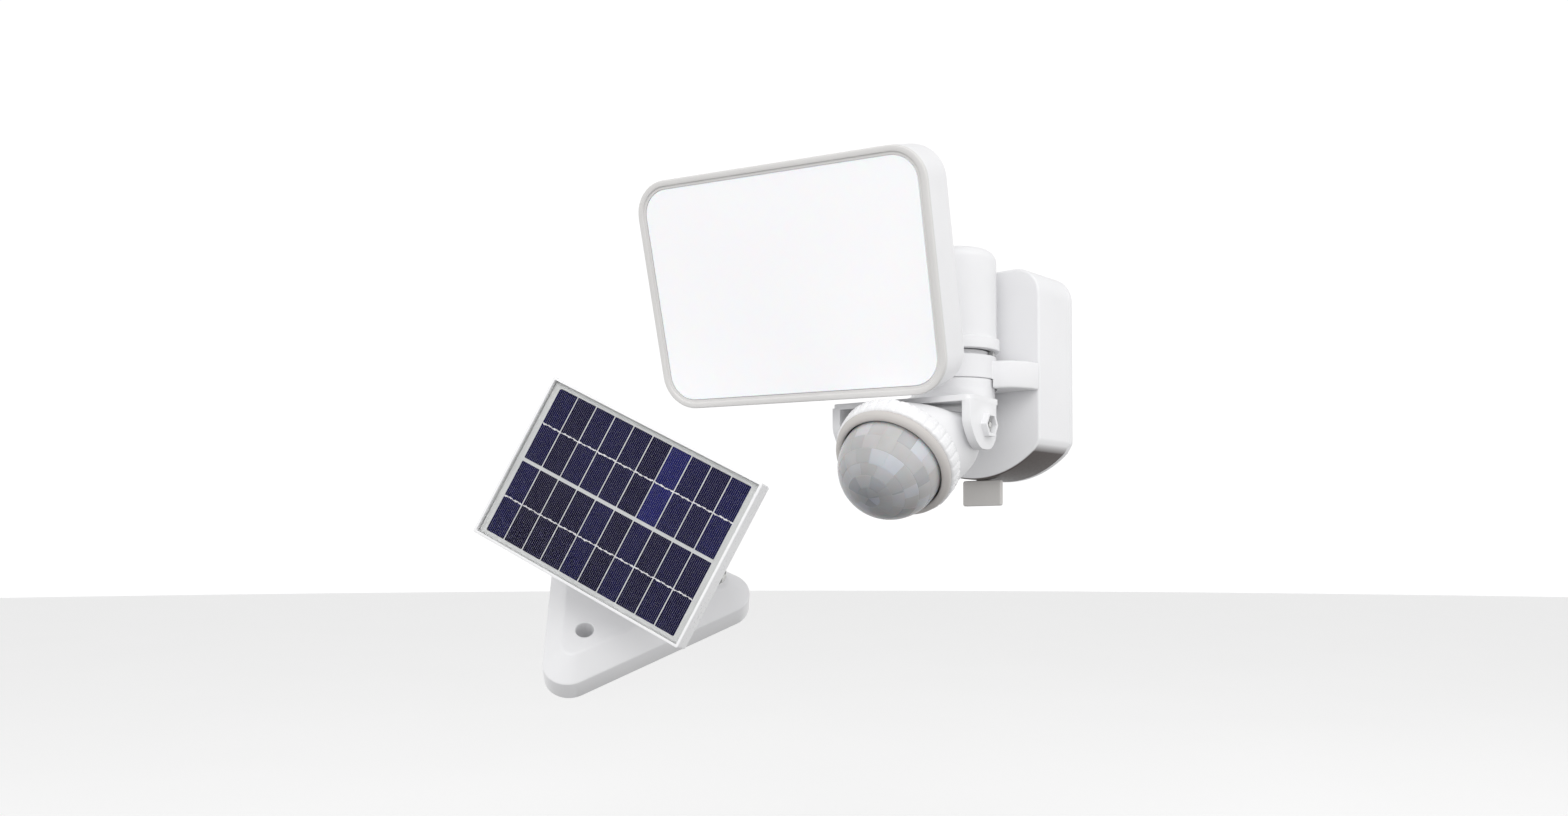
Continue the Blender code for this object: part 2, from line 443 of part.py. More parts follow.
yoke = to_object("sensor_yoke", flare(), WHITE, yoke_axis)
ear_side = [(-37.6, PLATE_LOW + 1.0), (-37.6, -47.0), (-42.0, -52.5), (-49.0, -55.5), (-56.0, -55.5), (-62.0, -52.5), (-67.5, -47.0), (-71.3, -40.0), (-71.3, PLATE_LOW + 1.0)]
for nm, s in (("ear_l", -1), ("ear_r", 1)):
    a, b = sorted((s * (YOKE_HALF - EAR_T), s * YOKE_HALF))
    join(yoke, nm, skin([[(a, y, z) for y, z in ear_side], [(b, y, z) for y, z in ear_side]]), yoke_axis)
    join(yoke, nm + "_boss", shift(along_x(skin([[(7.9 * math.cos(math.radians(q + 30)), 7.9 * math.sin(math.radians(q + 30)), z) for q in range(0, 360, 60)] for z in ((a + 0.5, b + 3.4) if s > 0 else (a - 3.4, b - 0.5))])), 0, -SENSOR_FWD, SENSOR_Z), yoke_axis)
cut(yoke, "cut_yoke_cavity", lathe([(18.0, PLATE_LOW - 2), (18.0, HUB_Z0 - 5.0)], 28), yoke_axis)
cut(yoke, "cut_yoke_bore", lathe([(5.0, -40), (5.0, 10)], 18), yoke_axis)
cut(yoke, "cut_ear_bore", shift(along_x(lathe([(2.4, -60), (2.4, 60)], 12)), 0, -SENSOR_FWD, SENSOR_Z), yoke_axis)
cut(yoke, "cut_nut_pocket", shift(along_x(skin([[(5.9 * math.cos(math.radians(a + 30)), 5.9 * math.sin(math.radians(a + 30)), z) for a in range(0, 360, 60)] for z in (YOKE_HALF - 2.6, YOKE_HALF + 8)])), 0, -SENSOR_FWD, SENSOR_Z), yoke_axis)
to_object("swivel_nut", shift(hex_nut(16.0, 6.0, 5.0), z=-19.5), STEEL, yoke_axis)

# ------------------------------------------------------------------ motion sensor: body, tilting about X through its pivot
sensor_axis = empty("sensor_axis", (0.0, -SENSOR_FWD, SENSOR_Z), Matrix.Rotation(math.radians(SENSOR_PITCH), 4, "X"), yoke_axis)


def oval(hw, up, down, d, p, n=28):
    """A rounded section across the sensor's axis: p is 2 for an ellipse and more for a squarer one."""
    ring = []
    for i in range(n):
        a = 2 * math.pi * i / n
        c, s = math.cos(a), math.sin(a)
        x = math.copysign(abs(c) ** (2 / p), c) * hw
        z = math.copysign(abs(s) ** (2 / p), s) * (up if s > 0 else down)
        ring.append((x, -d, z))
    return ring


SHELL = ((-9.0, 34.0, 4.0, 12.0, 3.4), (-6.0, 38.6, 7.0, 16.5, 3.6), (0.0, 40.6, 12.0, 22.5, 3.6), (8.0, 40.8, 19.0, 28.5, 3.2), (14.0, 39.4, 27.5, 32.5, 2.6), (25.0, 37.0, 36.0, 36.0, 2.0))
LINER = ((-6.4, 31.5, 1.5, 9.5, 3.4), (0.0, 38.0, 9.6, 20.0, 3.6), (8.0, 38.2, 16.4, 26.0, 3.2), (14.0, 36.8, 24.8, 30.0, 2.6), (25.0, 34.2, 33.2, 33.2, 2.0))
body = to_object("sensor_housing", skin([oval(hw, u, d, y, p) for y, hw, u, d, p in LINER] + [oval(hw, u, d, y, p) for y, hw, u, d, p in reversed(SHELL)]), WHITE, sensor_axis)
cut(body, "cut_sensor_bore", along_x(lathe([(1.9, -60), (1.9, 60)], 12)), sensor_axis)


def turned(profile, n=40, closed=True):
    """A ring or cap about the sensor's own axis; profile is (radius, distance along the axis)."""
    return move(lathe(profile, n, closed), Matrix.Rotation(math.radians(90), 4, "X"))


collar = skin([[((r + (0.55 if (i % 2) < 1 else 0.0) * k) * math.cos(2 * math.pi * i / 48), -y, (r + (0.55 if (i % 2) < 1 else 0.0) * k) * math.sin(2 * math.pi * i / 48)) for i in range(48)]
               for r, y, k in ((32.4, 25.4, 0), (37.6, 25.4, 1), (38.0, 26.6, 1), (37.4, 34.6, 1), (36.6, 35.6, 0), (32.4, 35.6, 0))], cap=False)
to_object("sensor_collar", collar, WHITE, sensor_axis)
to_object("dome_ring", turned([(31.9, 35.9), (36.8, 35.9), (36.5, 38.4), (35.4, 39.9), (32.8, 40.4), (31.9, 39.4)], 36), ((0.68, 0.66, 0.64), 0.5), sensor_axis)
dome_out = [(DOME_R * math.cos(math.radians(a)), DOME_D + DOME_R * math.sin(math.radians(a))) for a in (0, 15, 30, 45, 60, 74, 86)]
dome_in = [((DOME_R - 1.4) * math.cos(math.radians(a)), DOME_D + (DOME_R - 1.4) * math.sin(math.radians(a))) for a in (86, 68, 50, 32, 14)]
to_object("sensor_dome", turned(list(reversed(dome_out)) + [(DOME_R, 34.6), (32.0, 34.6), (32.0, 33.0), (29.4, 33.0)] + list(reversed(dome_in)), 28, closed=False), ((0.55, 0.55, 0.55), 0.3), sensor_axis)
to_object("sensor_board", turned([(28.5, 29.4), (28.5, 31.0)], 24, closed=False), ((0.03, 0.18, 0.08), 0.5), sensor_axis)
to_object("pyro_sensor", turned([(4.6, 31.4), (4.6, 35.5), (3.6, 36.0)], 16, closed=False), STEEL, sensor_axis)
to_object("sensor_screw", shift(move(screw(1.6, 11.2, 3.4, 2.2), Matrix.Rotation(math.radians(-90), 4, "Y")), x=-YOKE_HALF - 3.4 - GAP), STEEL, sensor_axis)
to_object("sensor_nut", shift(move(hex_nut(7.6, 3.0, 2.0, 12), Matrix.Rotation(math.radians(90), 4, "Y")), x=YOKE_HALF - 2.2), STEEL, sensor_axis)
to_object("sensor_stud", along_x(lathe([(1.6, YOKE_HALF - 9.0), (1.6, YOKE_HALF + 2.0)], 12)), STEEL, sensor_axis)

# ------------------------------------------------------------------ solar panel unit: foot
foot_m = Matrix.Rotation(math.radians(FOOT_YAW), 4, "Z") @ Matrix.Rotation(math.radians(FOOT_LEAN), 4, "X")
foot_axis = empty("foot_frame", FOOT_ORIGIN, foot_m)


def triangle(side, r, k=5):
    """An equilateral triangle with round tips, about its middle."""
    pts = []
    big = side / math.sqrt(3)
    for t in (210, 330, 90):
        a = math.radians(FOOT_TURN + t)
        cx, cy = (big - 2 * r) * math.cos(a), (big - 2 * r) * math.sin(a)
        for i in range(k + 1):
            b = a - math.pi / 3 + 2 * math.pi / 3 * i / k
            pts.append((cx + r * math.cos(b), cy + r * math.sin(b)))
    return pts


def tri_ring(d, z, r=None):
    return [(x, y, z) for x, y in triangle(FOOT_SIDE - 2 * math.sqrt(3) * d, FOOT_R - 0.78 * d if r is None else r)]


FOOT_TOP = FOOT_WALL + FOOT_BEVEL
foot = to_object("panel_foot", skin([tri_ring(12.0, FOOT_TOP - 6.5), tri_ring(4.0, 13.5), tri_ring(4.0, 0.0), tri_ring(0.5, 0.0), tri_ring(0.0, 0.5), tri_ring(0.0, FOOT_WALL - 0.8), tri_ring(0.9, FOOT_WALL + 0.4),
                                     tri_ring(FOOT_BEVEL - 0.9, FOOT_TOP - 0.5), tri_ring(FOOT_BEVEL + 0.6, FOOT_TOP)]), WHITE, foot_axis)
HOLE_AT = [((FOOT_SIDE / math.sqrt(3) - FOOT_HOLE_FROM_TIP) * math.cos(math.radians(FOOT_TURN + t)), (FOOT_SIDE / math.sqrt(3) - FOOT_HOLE_FROM_TIP) * math.sin(math.radians(FOOT_TURN + t))) for t in (210, 330, 90)]
for i, (x, y) in enumerate(HOLE_AT):
    join(foot, f"foot_post_{i}", shift(lathe([(8.8, 0.4), (8.8, FOOT_TOP - 3.0)], 18), x, y, 0), foot_axis)
for i, (x, y) in enumerate(HOLE_AT):
    cut(foot, f"cut_foot_hole_{i}", shift(lathe([(FOOT_HOLE_R, -10.0), (FOOT_HOLE_R, 60.0)], 18), x, y, 0), foot_axis)
cut(foot, "cut_foot_bore", lathe([(5.2, 10), (5.2, 60)], 12), foot_axis)

# ---- stem, swivelling about the foot's axis
stem_axis = empty("stem_axis", FOOT_ORIGIN, foot_m @ Matrix.Rotation(math.radians(PANEL_SWIVEL), 4, "Z"))
SEAT = FOOT_TOP + GAP
stem = to_object("panel_stem", lathe([(19.0, SEAT), (19.0, SEAT + 3.0), (17.5, SEAT + 4.5), (10.5, SEAT + 7.5), (8.6, SEAT + 13.0), (7.6, ROD_H - 14.0), (8.0, ROD_H - 9.0)], 18), WHITE, stem_axis)
join(stem, "stem_eye", shift(along_x(lathe([(8.8, -13.0), (9.6, -12.2), (9.6, 12.2), (8.8, 13.0)], 18)), z=ROD_H), stem_axis)
cut(stem, "cut_stem_eye", shift(along_x(lathe([(3.3, -30), (3.3, 30)], 12)), z=ROD_H), stem_axis)
cut(stem, "cut_stem_thread", lathe([(2.6, 10), (2.6, SEAT + 14.0)], 12), stem_axis)
to_object("stem_bolt", shift(screw(2.3, 0.5, 6.0, 2.0, 16), z=0.0), STEEL, stem_axis)
bolt = bpy.data.objects["stem_bolt"]
bolt.data.clear_geometry()
bm = lathe([(2.0, SEAT + 12.0), (2.3, SEAT + 11.4), (2.3, FOOT_TOP - 6.9), (8.0, FOOT_TOP - 6.9), (8.0, FOOT_TOP - 9.6), (6.6, FOOT_TOP - 10.6)], 12)
bmesh.ops.recalc_face_normals(bm, faces=bm.faces)
bmesh.ops.scale(bm, vec=(MM, MM, MM), verts=bm.verts)
bm.to_mesh(bolt.data)
bm.free()

# ---- panel, tilting about the rod
panel_axis = empty("panel_axis", (0.0, 0.0, 0.0), None, stem_axis)
panel_axis.matrix_basis = Matrix.Translation((0, 0, ROD_H * MM)) @ Matrix.Rotation(math.radians(PANEL_TILT), 4, "X")


def sheet(w, h, r, z, k=2):
    return [(x, PANEL_UP + y, z) for x, y in rounded_rect(w, h, r, k)]


FR = PANEL_OFF
to_object("panel_frame", skin([sheet(PANEL_W - 3.6, PANEL_H - 3.6, 1.0, FR - 5.4), sheet(PANEL_W - 3.6, PANEL_H - 3.6, 1.0, FR - PANEL_T), sheet(PANEL_W - 0.6, PANEL_H - 0.6, 1.7, FR - PANEL_T), sheet(PANEL_W, PANEL_H, 2.0, FR - PANEL_T + 0.4),
                               sheet(PANEL_W, PANEL_H, 2.0, FR - 0.5), sheet(PANEL_W - 1.0, PANEL_H - 1.0, 1.6, FR), sheet(PANEL_W - 3.6, PANEL_H - 3.6, 1.0, FR), sheet(PANEL_W - 3.6, PANEL_H - 3.6, 1.0, FR - 4.4),
                               sheet(PANEL_W - 6.6, PANEL_H - 6.6, 0.8, FR - 4.4), sheet(PANEL_W - 6.6, PANEL_H - 6.6, 0.8, FR - 5.4)], cap=False), ((0.88, 0.88, 0.88), 0.4), panel_axis)
to_object("panel_glass", skin([sheet(PANEL_W - 4.4, PANEL_H - 4.4, 0.8, FR - 2.6), sheet(PANEL_W - 4.4, PANEL_H - 4.4, 0.8, FR - 0.9), sheet(PANEL_W - 5.0, PANEL_H - 5.0, 0.6, FR - 0.6)]), ((0.5, 0.55, 0.6), 0.1), panel_axis)
to_object("cell_sheet", skin([sheet(PANEL_W - 4.4, PANEL_H - 4.4, 0.8, FR - 4.1), sheet(PANEL_W - 4.4, PANEL_H - 4.4, 0.8, FR - 2.9)]), ((0.03, 0.03, 0.09), 0.3), panel_axis)
back = to_object("panel_back", skin([sheet(PANEL_W - 4.4, PANEL_H - 4.4, 0.8, FR - 7.9), sheet(PANEL_W - 4.4, PANEL_H - 4.4, 0.8, FR - 5.7)]), ((0.84, 0.84, 0.84), 0.45), panel_axis)
for nm, x in (("rod_lug_left", -66.0), ("rod_lug_right", 66.0)):
    side = [(9.0 * math.cos(math.radians(a)), 9.0 * math.sin(math.radians(a))) for a in range(180, 361, 20)] + [(12.0, FR - 8.1), (-12.0, FR - 8.1)]
    lug = to_object(nm, skin([[(x - 3.0, y, z) for y, z in side], [(x + 3.0, y, z) for y, z in side]]), WHITE, panel_axis)
    cut(lug, nm + "_bore", shift(along_x(lathe([(3.3, -20), (3.3, 20)], 12)), x=x), panel_axis)
to_object("tilt_rod", along_x(lathe([(2.6, -78.0), (3.0, -77.6), (3.0, 77.6), (2.6, 78.0)], 12)), STEEL, panel_axis)
for nm, s in (("rod_knob_left", -1), ("rod_knob_right", 1)):
    knob = lathe([(3.3, 69.6), (6.0, 69.6), (6.4, 70.4), (6.4, 75.0), (5.4, 76.0), (3.3, 76.0)], 16, closed=True)
    to_object(nm, move(knob, Matrix.Rotation(math.radians(90 * s), 4, "Y")), ((0.3, 0.3, 0.3), 0.5), panel_axis)
jb = to_object("junction_box", skin([[(x, 32.0 + y, FR - 8.2) for x, y in rounded_rect(44.0, 26.0, 3.0, 3)], [(x, 32.0 + y, FR - 17.0) for x, y in rounded_rect(44.0, 26.0, 3.0, 3)], [(x, 32.0 + y, FR - 18.2) for x, y in rounded_rect(41.6, 23.6, 2.0, 3)]]), ((0.05, 0.05, 0.05), 0.6), panel_axis)
to_object("lead_gland", shift(along_x(lathe([(2.2, 22.3), (4.6, 22.3), (4.6, 26.0), (3.6, 30.0), (2.2, 30.0)], 12, closed=True)), 0, 32.0, FR - 12.8), RUBBER, panel_axis)
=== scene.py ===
"""Solar flood light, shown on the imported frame: lamp head, swivel neck, wall box, motion sensor and solar panel unit."""
import json
import math

import bmesh
import bpy
from mathutils import Matrix, Vector


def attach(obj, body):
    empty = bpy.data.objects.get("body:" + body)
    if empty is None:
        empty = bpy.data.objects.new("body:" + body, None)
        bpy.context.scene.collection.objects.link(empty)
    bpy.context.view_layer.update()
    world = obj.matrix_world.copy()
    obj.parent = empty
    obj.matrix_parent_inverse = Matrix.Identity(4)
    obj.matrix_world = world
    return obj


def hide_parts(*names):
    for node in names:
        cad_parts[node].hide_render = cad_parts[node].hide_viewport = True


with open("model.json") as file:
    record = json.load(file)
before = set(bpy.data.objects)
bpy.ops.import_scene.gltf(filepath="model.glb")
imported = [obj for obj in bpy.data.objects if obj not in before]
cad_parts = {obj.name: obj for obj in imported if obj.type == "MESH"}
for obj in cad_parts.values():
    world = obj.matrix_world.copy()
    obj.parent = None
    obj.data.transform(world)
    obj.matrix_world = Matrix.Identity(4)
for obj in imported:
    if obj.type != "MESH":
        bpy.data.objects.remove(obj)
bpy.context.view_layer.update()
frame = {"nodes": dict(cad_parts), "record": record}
NODES = frame["nodes"]
MM = 0.001
COLL = bpy.context.scene.collection


# ------------------------------------------------------------------ mesh tools (millimetres)
def skin(rings, cap=True):
    bm = bmesh.new()
    rows = [[bm.verts.new(p) for p in ring] for ring in rings]
    n = len(rows[0])
    for a, b in zip(rows, rows[1:]):
        for i in range(n):
            j = (i + 1) % n
            bm.faces.new((a[i], a[j], b[j], b[i]))
    if cap:
        bm.faces.new(rows[0])
        bm.faces.new(list(reversed(rows[-1])))
    else:
        for i in range(n):
            j = (i + 1) % n
            bm.faces.new((rows[-1][i], rows[-1][j], rows[0][j], rows[0][i]))
    return bm


def lathe(profile, n=64, closed=False):
    rings = [[(r * math.cos(2 * math.pi * i / n), r * math.sin(2 * math.pi * i / n), z) for i in range(n)] for r, z in profile]
    return skin(rings, cap=not closed)


def move(bm, matrix):
    bmesh.ops.transform(bm, matrix=matrix, verts=bm.verts)
    return bm


def along_x(bm):
    return move(bm, Matrix.Rotation(math.radians(90), 4, "Y"))


def along_y(bm):
    return move(bm, Matrix.Rotation(math.radians(90), 4, "X"))


def shift(bm, x=0.0, y=0.0, z=0.0):
    return move(bm, Matrix.Translation((x, y, z)))


def rounded_rect(w, h, r, k=8):
    pts = []
    for cx, cy, a0 in ((w / 2 - r, h / 2 - r, 0), (-w / 2 + r, h / 2 - r, 90), (-w / 2 + r, -h / 2 + r, 180), (w / 2 - r, -h / 2 + r, 270)):
        for i in range(k + 1):
            a = math.radians(a0 + 90 * i / k)
            pts.append((cx + r * math.cos(a), cy + r * math.sin(a)))
    return pts


def block(x0, x1, y0, y1, z0, z1, bevel=0.0, segments=2):
    bm = bmesh.new()
    bmesh.ops.create_cube(bm, size=1.0)
    bmesh.ops.scale(bm, vec=(x1 - x0, y1 - y0, z1 - z0), verts=bm.verts)
    bmesh.ops.translate(bm, vec=((x0 + x1) / 2, (y0 + y1) / 2, (z0 + z1) / 2), verts=bm.verts)
    if bevel:
        bmesh.ops.bevel(bm, geom=bm.edges[:], offset=bevel, segments=segments, profile=0.5, affect="EDGES")
    return bm


def plate(outline, z0, z1):
    return skin([[(x, y, z0) for x, y in outline], [(x, y, z1) for x, y in outline]])


def inset(outline, d):
    n = len(outline)
    area = sum(outline[i][0] * outline[(i + 1) % n][1] - outline[(i + 1) % n][0] * outline[i][1] for i in range(n))
    s = 1.0 if area > 0 else -1.0
    out = []
    for i in range(n):
        p0, p1, p2 = (Vector(outline[(i + k) % n]) for k in (-1, 0, 1))
        a, b = (p1 - p0).normalized(), (p2 - p1).normalized()
        na, nb = Vector((-a.y, a.x)) * s, Vector((-b.y, b.x)) * s
        m = (na + nb).normalized()
        out.append(tuple(p1 + m * (d / max(0.3, m.dot(na)))))
    return out


def merge(*bms):
    """Several shapes in one mesh."""
    out = bmesh.new()
    for b in bms:
        me = bpy.data.meshes.new("part")
        b.to_mesh(me)
        b.free()
        out.from_mesh(me)
        bpy.data.meshes.remove(me)
    return out


def mesh_object(name, bm, matrix=None):
    bmesh.ops.remove_doubles(bm, verts=bm.verts, dist=1e-4)
    bmesh.ops.recalc_face_normals(bm, faces=bm.faces)
    if matrix is not None:
        bmesh.ops.transform(bm, matrix=matrix, verts=bm.verts)
    bmesh.ops.scale(bm, vec=(MM, MM, MM), verts=bm.verts)
    me = bpy.data.meshes.new(name)
    bm.to_mesh(me)
    bm.free()
    ob = bpy.data.objects.new(name, me)
    COLL.objects.link(ob)
    return ob


def apply_all(ob):
    deps = bpy.context.evaluated_depsgraph_get()
    me = bpy.data.meshes.new_from_object(ob.evaluated_get(deps))
    old = ob.data
    ob.modifiers.clear()
    ob.data = me
    bpy.data.meshes.remove(old)


def carve(ob, cuts=(), adds=(), matrix=None):
    """Joins the adds to a piece, then takes the cuts out of it."""
    tools = []
    for op, group in (("UNION", adds), ("DIFFERENCE", cuts)):
        for bm in group:
            c = mesh_object(ob.name + "_tool", bm, matrix)
            m = ob.modifiers.new(op, "BOOLEAN")
            m.operation, m.solver, m.object = op, "EXACT", c
            tools.append(c)
    bpy.context.view_layer.update()
    apply_all(ob)
    for c in tools:
        me = c.data
        bpy.data.objects.remove(c, do_unlink=True)
        bpy.data.meshes.remove(me)


def finish_piece(ob, mat, body, nodes=(), bevel=0.0, segments=3, smooth=32.0, angle=28.0):
    if bevel:
        m = ob.modifiers.new("edge", "BEVEL")
        m.width = bevel * MM
        m.segments = segments
        m.limit_method = "ANGLE"
        m.angle_limit = math.radians(angle)
        m.harden_normals = False
        m.use_clamp_overlap = True
        m.miter_outer = "MITER_ARC"
        bpy.context.view_layer.update()
        apply_all(ob)
    ob.data.materials.clear()
    for one in (mat if isinstance(mat, (list, tuple)) else [mat]):
        ob.data.materials.append(one)
    ob.data.shade_smooth()
    ob.data.set_sharp_from_angle(angle=math.radians(smooth))
    if nodes:
        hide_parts(*nodes)
    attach(ob, body)
    return ob


# ------------------------------------------------------------------ materials
def new_mat(name):
    m = bpy.data.materials.new(name)
    m.use_nodes = True
    return m, m.node_tree.nodes, m.node_tree.links, m.node_tree.nodes["Principled BSDF"]


def coords(nodes, links, which="Object", scale=1.0):
    tc = nodes.new("ShaderNodeTexCoord")
    mp = nodes.new("ShaderNodeMapping")
    mp.inputs["Scale"].default_value = (scale, scale, scale)
    links.new(tc.outputs[which], mp.inputs["Vector"])
    return mp.outputs["Vector"]


def noise(nodes, links, vec, scale, detail=3.0, rough=0.55):
    n = nodes.new("ShaderNodeTexNoise")
    n.inputs["Scale"].default_value = scale
    n.inputs["Detail"].default_value = detail
    n.inputs["Roughness"].default_value = rough
    links.new(vec, n.inputs["Vector"])
    return n.outputs["Fac"]


def ramp(nodes, links, fac, stops):
    r = nodes.new("ShaderNodeValToRGB")
    cr = r.color_ramp
    while len(cr.elements) < len(stops):
        cr.elements.new(0.5)
    for e, (pos, col) in zip(cr.elements, stops):
        e.position = pos
        e.color = (*col, 1.0)
    links.new(fac, r.inputs["Fac"])
    return r.outputs["Color"]


def mapped(nodes, links, fac, lo, hi, a=0.3, b=0.7):
    m = nodes.new("ShaderNodeMapRange")
    m.inputs["From Min"].default_value = a
    m.inputs["From Max"].default_value = b
    m.inputs["To Min"].default_value = lo
    m.inputs["To Max"].default_value = hi
    links.new(fac, m.inputs["Value"])
    return m.outputs["Result"]


def bumped(nodes, links, bsdf, height, strength, distance, after=None):
    b = nodes.new("ShaderNodeBump")
    b.inputs["Strength"].default_value = strength
    b.inputs["Distance"].default_value = distance
    links.new(height, b.inputs["Height"])
    if after is not None:
        links.new(after, b.inputs["Normal"])
    links.new(b.outputs["Normal"], bsdf.inputs["Normal"])
    return b.outputs["Normal"]


def moulded(name, colour, rough=0.42, grain=2600.0, bump=0.12, vary=0.012, sheen_specular=0.5, coat=0.0, sss=0.0):
    """Injection-moulded plastic: a fine spark-eroded grain, slow colour and gloss drift."""
    m, nodes, links, b = new_mat(name)
    v = coords(nodes, links)
    slow = noise(nodes, links, v, 26.0, 2.0)
    fine = noise(nodes, links, v, grain, 2.0, 0.6)
    mid = noise(nodes, links, v, grain * 0.22, 3.0, 0.6)
    lo = tuple(max(0.0, c - vary) for c in colour)
    hi = tuple(min(1.0, c + vary) for c in colour)
    links.new(ramp(nodes, links, slow, ((0.3, lo), (0.7, hi))), b.inputs["Base Color"])
    links.new(mapped(nodes, links, mid, rough - 0.05, rough + 0.06), b.inputs["Roughness"])
    b.inputs["Specular IOR Level"].default_value = sheen_specular
    if coat:
        b.inputs["Coat Weight"].default_value = coat
        b.inputs["Coat Roughness"].default_value = 0.12
    if sss:
        b.inputs["Subsurface Weight"].default_value = sss
        b.inputs["Subsurface Scale"].default_value = 0.004
        b.inputs["Subsurface Radius"].default_value = (1.0, 0.95, 0.9)
    first = bumped(nodes, links, b, mid, bump * 0.5, 0.00006)
    bumped(nodes, links, b, fine, bump, 0.00004, first)
    return m


def shaded_underside(mat, low, strength=1.0):
    """The colour turns darker where the surface faces down. It stands in for shade, not for a known colour."""
    m = mat.copy()
    m.name = mat.name + "_under"
    nodes, links = m.node_tree.nodes, m.node_tree.links
    b = nodes["Principled BSDF"]
    clean = b.inputs["Base Color"].links[0].from_socket
    geo = nodes.new("ShaderNodeNewGeometry")
    sep = nodes.new("ShaderNodeSeparateXYZ")
    links.new(geo.outputs["Normal"], sep.inputs["Vector"])
    fac = mapped(nodes, links, sep.outputs["Z"], strength, 0.0, -0.72, -0.42)
    mix = nodes.new("ShaderNodeMix")
    mix.data_type = "RGBA"
    links.new(fac, mix.inputs["Factor"])
    links.new(clean, mix.inputs["A"])
    mix.inputs["B"].default_value = (*low, 1.0)
    links.new(mix.outputs["Result"], b.inputs["Base Color"])
    return m


def metal(name, colour, rough=0.3, brush=900.0, aniso=0.3):
    m, nodes, links, b = new_mat(name)
    v = coords(nodes, links)
    b.inputs["Metallic"].default_value = 1.0
    fine = noise(nodes, links, v, brush, 4.0, 0.65)
    slow = noise(nodes, links, v, 160.0, 2.0)
    links.new(ramp(nodes, links, slow, ((0.3, tuple(c * 0.9 for c in colour)), (0.7, tuple(min(1.0, c * 1.08) for c in colour)))), b.inputs["Base Color"])
    links.new(mapped(nodes, links, fine, rough - 0.08, rough + 0.12), b.inputs["Roughness"])
    b.inputs["Anisotropic"].default_value = aniso
    bumped(nodes, links, b, fine, 0.15, 0.00003)
    return m


WHITE = moulded("white_shell", (0.83, 0.83, 0.842), 0.40)
BOX_WHITE = shaded_underside(WHITE, (0.075, 0.056, 0.05), 0.97)
WHITE_GLOSS = moulded("white_collar", (0.86, 0.86, 0.87), 0.26, bump=0.05)
TAB = moulded("guard_plastic", (0.62, 0.605, 0.585), 0.5)
BEZEL = moulded("bezel_plastic", (0.71, 0.70, 0.69), 0.45, bump=0.08)
RING = moulded("ring_plastic", (0.58, 0.555, 0.535), 0.46, bump=0.1)
# painted shade: a dark colour for the inside of the swivel slot, which lies in shadow under the collar
SLOT_SHADE_PAINT = moulded("slot_painted_shade", (0.17, 0.18, 0.165), 0.6)
BLACK = moulded("black_plastic_fine", (0.03, 0.03, 0.032), 0.5, bump=0.25, vary=0.006)
KNOB = moulded("knob_plastic", (0.2, 0.2, 0.2), 0.5, bump=0.2)
RUBBER = moulded("seal_rubber_matt", (0.035, 0.035, 0.036), 0.8, grain=1500.0, bump=0.35, vary=0.01, sheen_specular=0.3)
STEEL = metal("zinc_steel", (0.62, 0.62, 0.61))
FRAME_ALU = moulded("panel_frame_white", (0.88, 0.88, 0.89), 0.3, bump=0.05)
REFLECT = moulded("reflector_white", (0.9, 0.9, 0.9), 0.25, bump=0.05)


def lens_material():
    """Flat opal diffuser: bright, milky, with a very fine matt face."""
    m, nodes, links, b = new_mat("opal_diffuser")
    v = coords(nodes, links)
    slow = noise(nodes, links, v, 9.0, 1.0)
    fine = noise(nodes, links, v, 4200.0, 2.0)
    links.new(ramp(nodes, links, slow, ((0.3, (0.93, 0.92, 0.945)), (0.7, (0.965, 0.955, 0.97)))), b.inputs["Base Color"])
    links.new(mapped(nodes, links, fine, 0.3, 0.42), b.inputs["Roughness"])
    b.inputs["Subsurface Weight"].default_value = 0.25
    b.inputs["Subsurface Scale"].default_value = 0.006
    b.inputs["Emission Color"].default_value = (1.0, 0.985, 1.0, 1.0)
    b.inputs["Emission Strength"].default_value = 0.12
    bumped(nodes, links, b, fine, 0.05, 0.00003)
    return m


LENS = lens_material()


def board_material(name, base, trace):
    """Printed board: solder mask over a pattern of tracks."""
    m, nodes, links, b = new_mat(name)
    v = coords(nodes, links)
    br = nodes.new("ShaderNodeTexBrick")
    br.inputs["Scale"].default_value = 260.0
    br.inputs["Mortar Size"].default_value = 0.03
    br.inputs["Color1"].default_value = (*base, 1)
    br.inputs["Color2"].default_value = (*[c * 0.85 for c in base], 1)
    br.inputs["Mortar"].default_value = (*trace, 1)
    links.new(v, br.inputs["Vector"])
    links.new(br.outputs["Color"], b.inputs["Base Color"])
    links.new(mapped(nodes, links, br.outputs["Fac"], 0.25, 0.4, 0.0, 1.0), b.inputs["Roughness"])
    bumped(nodes, links, b, br.outputs["Fac"], 0.3, 0.00005)
    return m


GREEN_BOARD = board_material("board_mask", (0.015, 0.11, 0.04), (0.06, 0.2, 0.08))
WHITE_BOARD = board_material("white_board_mask", (0.85, 0.85, 0.84), (0.7, 0.7, 0.66))
BATTERY = moulded("battery_wrap_film", (0.05, 0.14, 0.38), 0.25, bump=0.05)


def glass_material():
    """Clear cover over the cells: only its reflections and a faint tint show."""
    m, nodes, links, b = new_mat("cover_glass")
    v = coords(nodes, links)
    fine = noise(nodes, links, v, 120.0, 2.0)
    b.inputs["Base Color"].default_value = (0.985, 0.985, 0.985, 1.0)
    b.inputs["Transmission Weight"].default_value = 1.0
    b.inputs["IOR"].default_value = 1.09
    links.new(mapped(nodes, links, fine, 0.02, 0.05), b.inputs["Roughness"])
    return m


GLASS = glass_material()


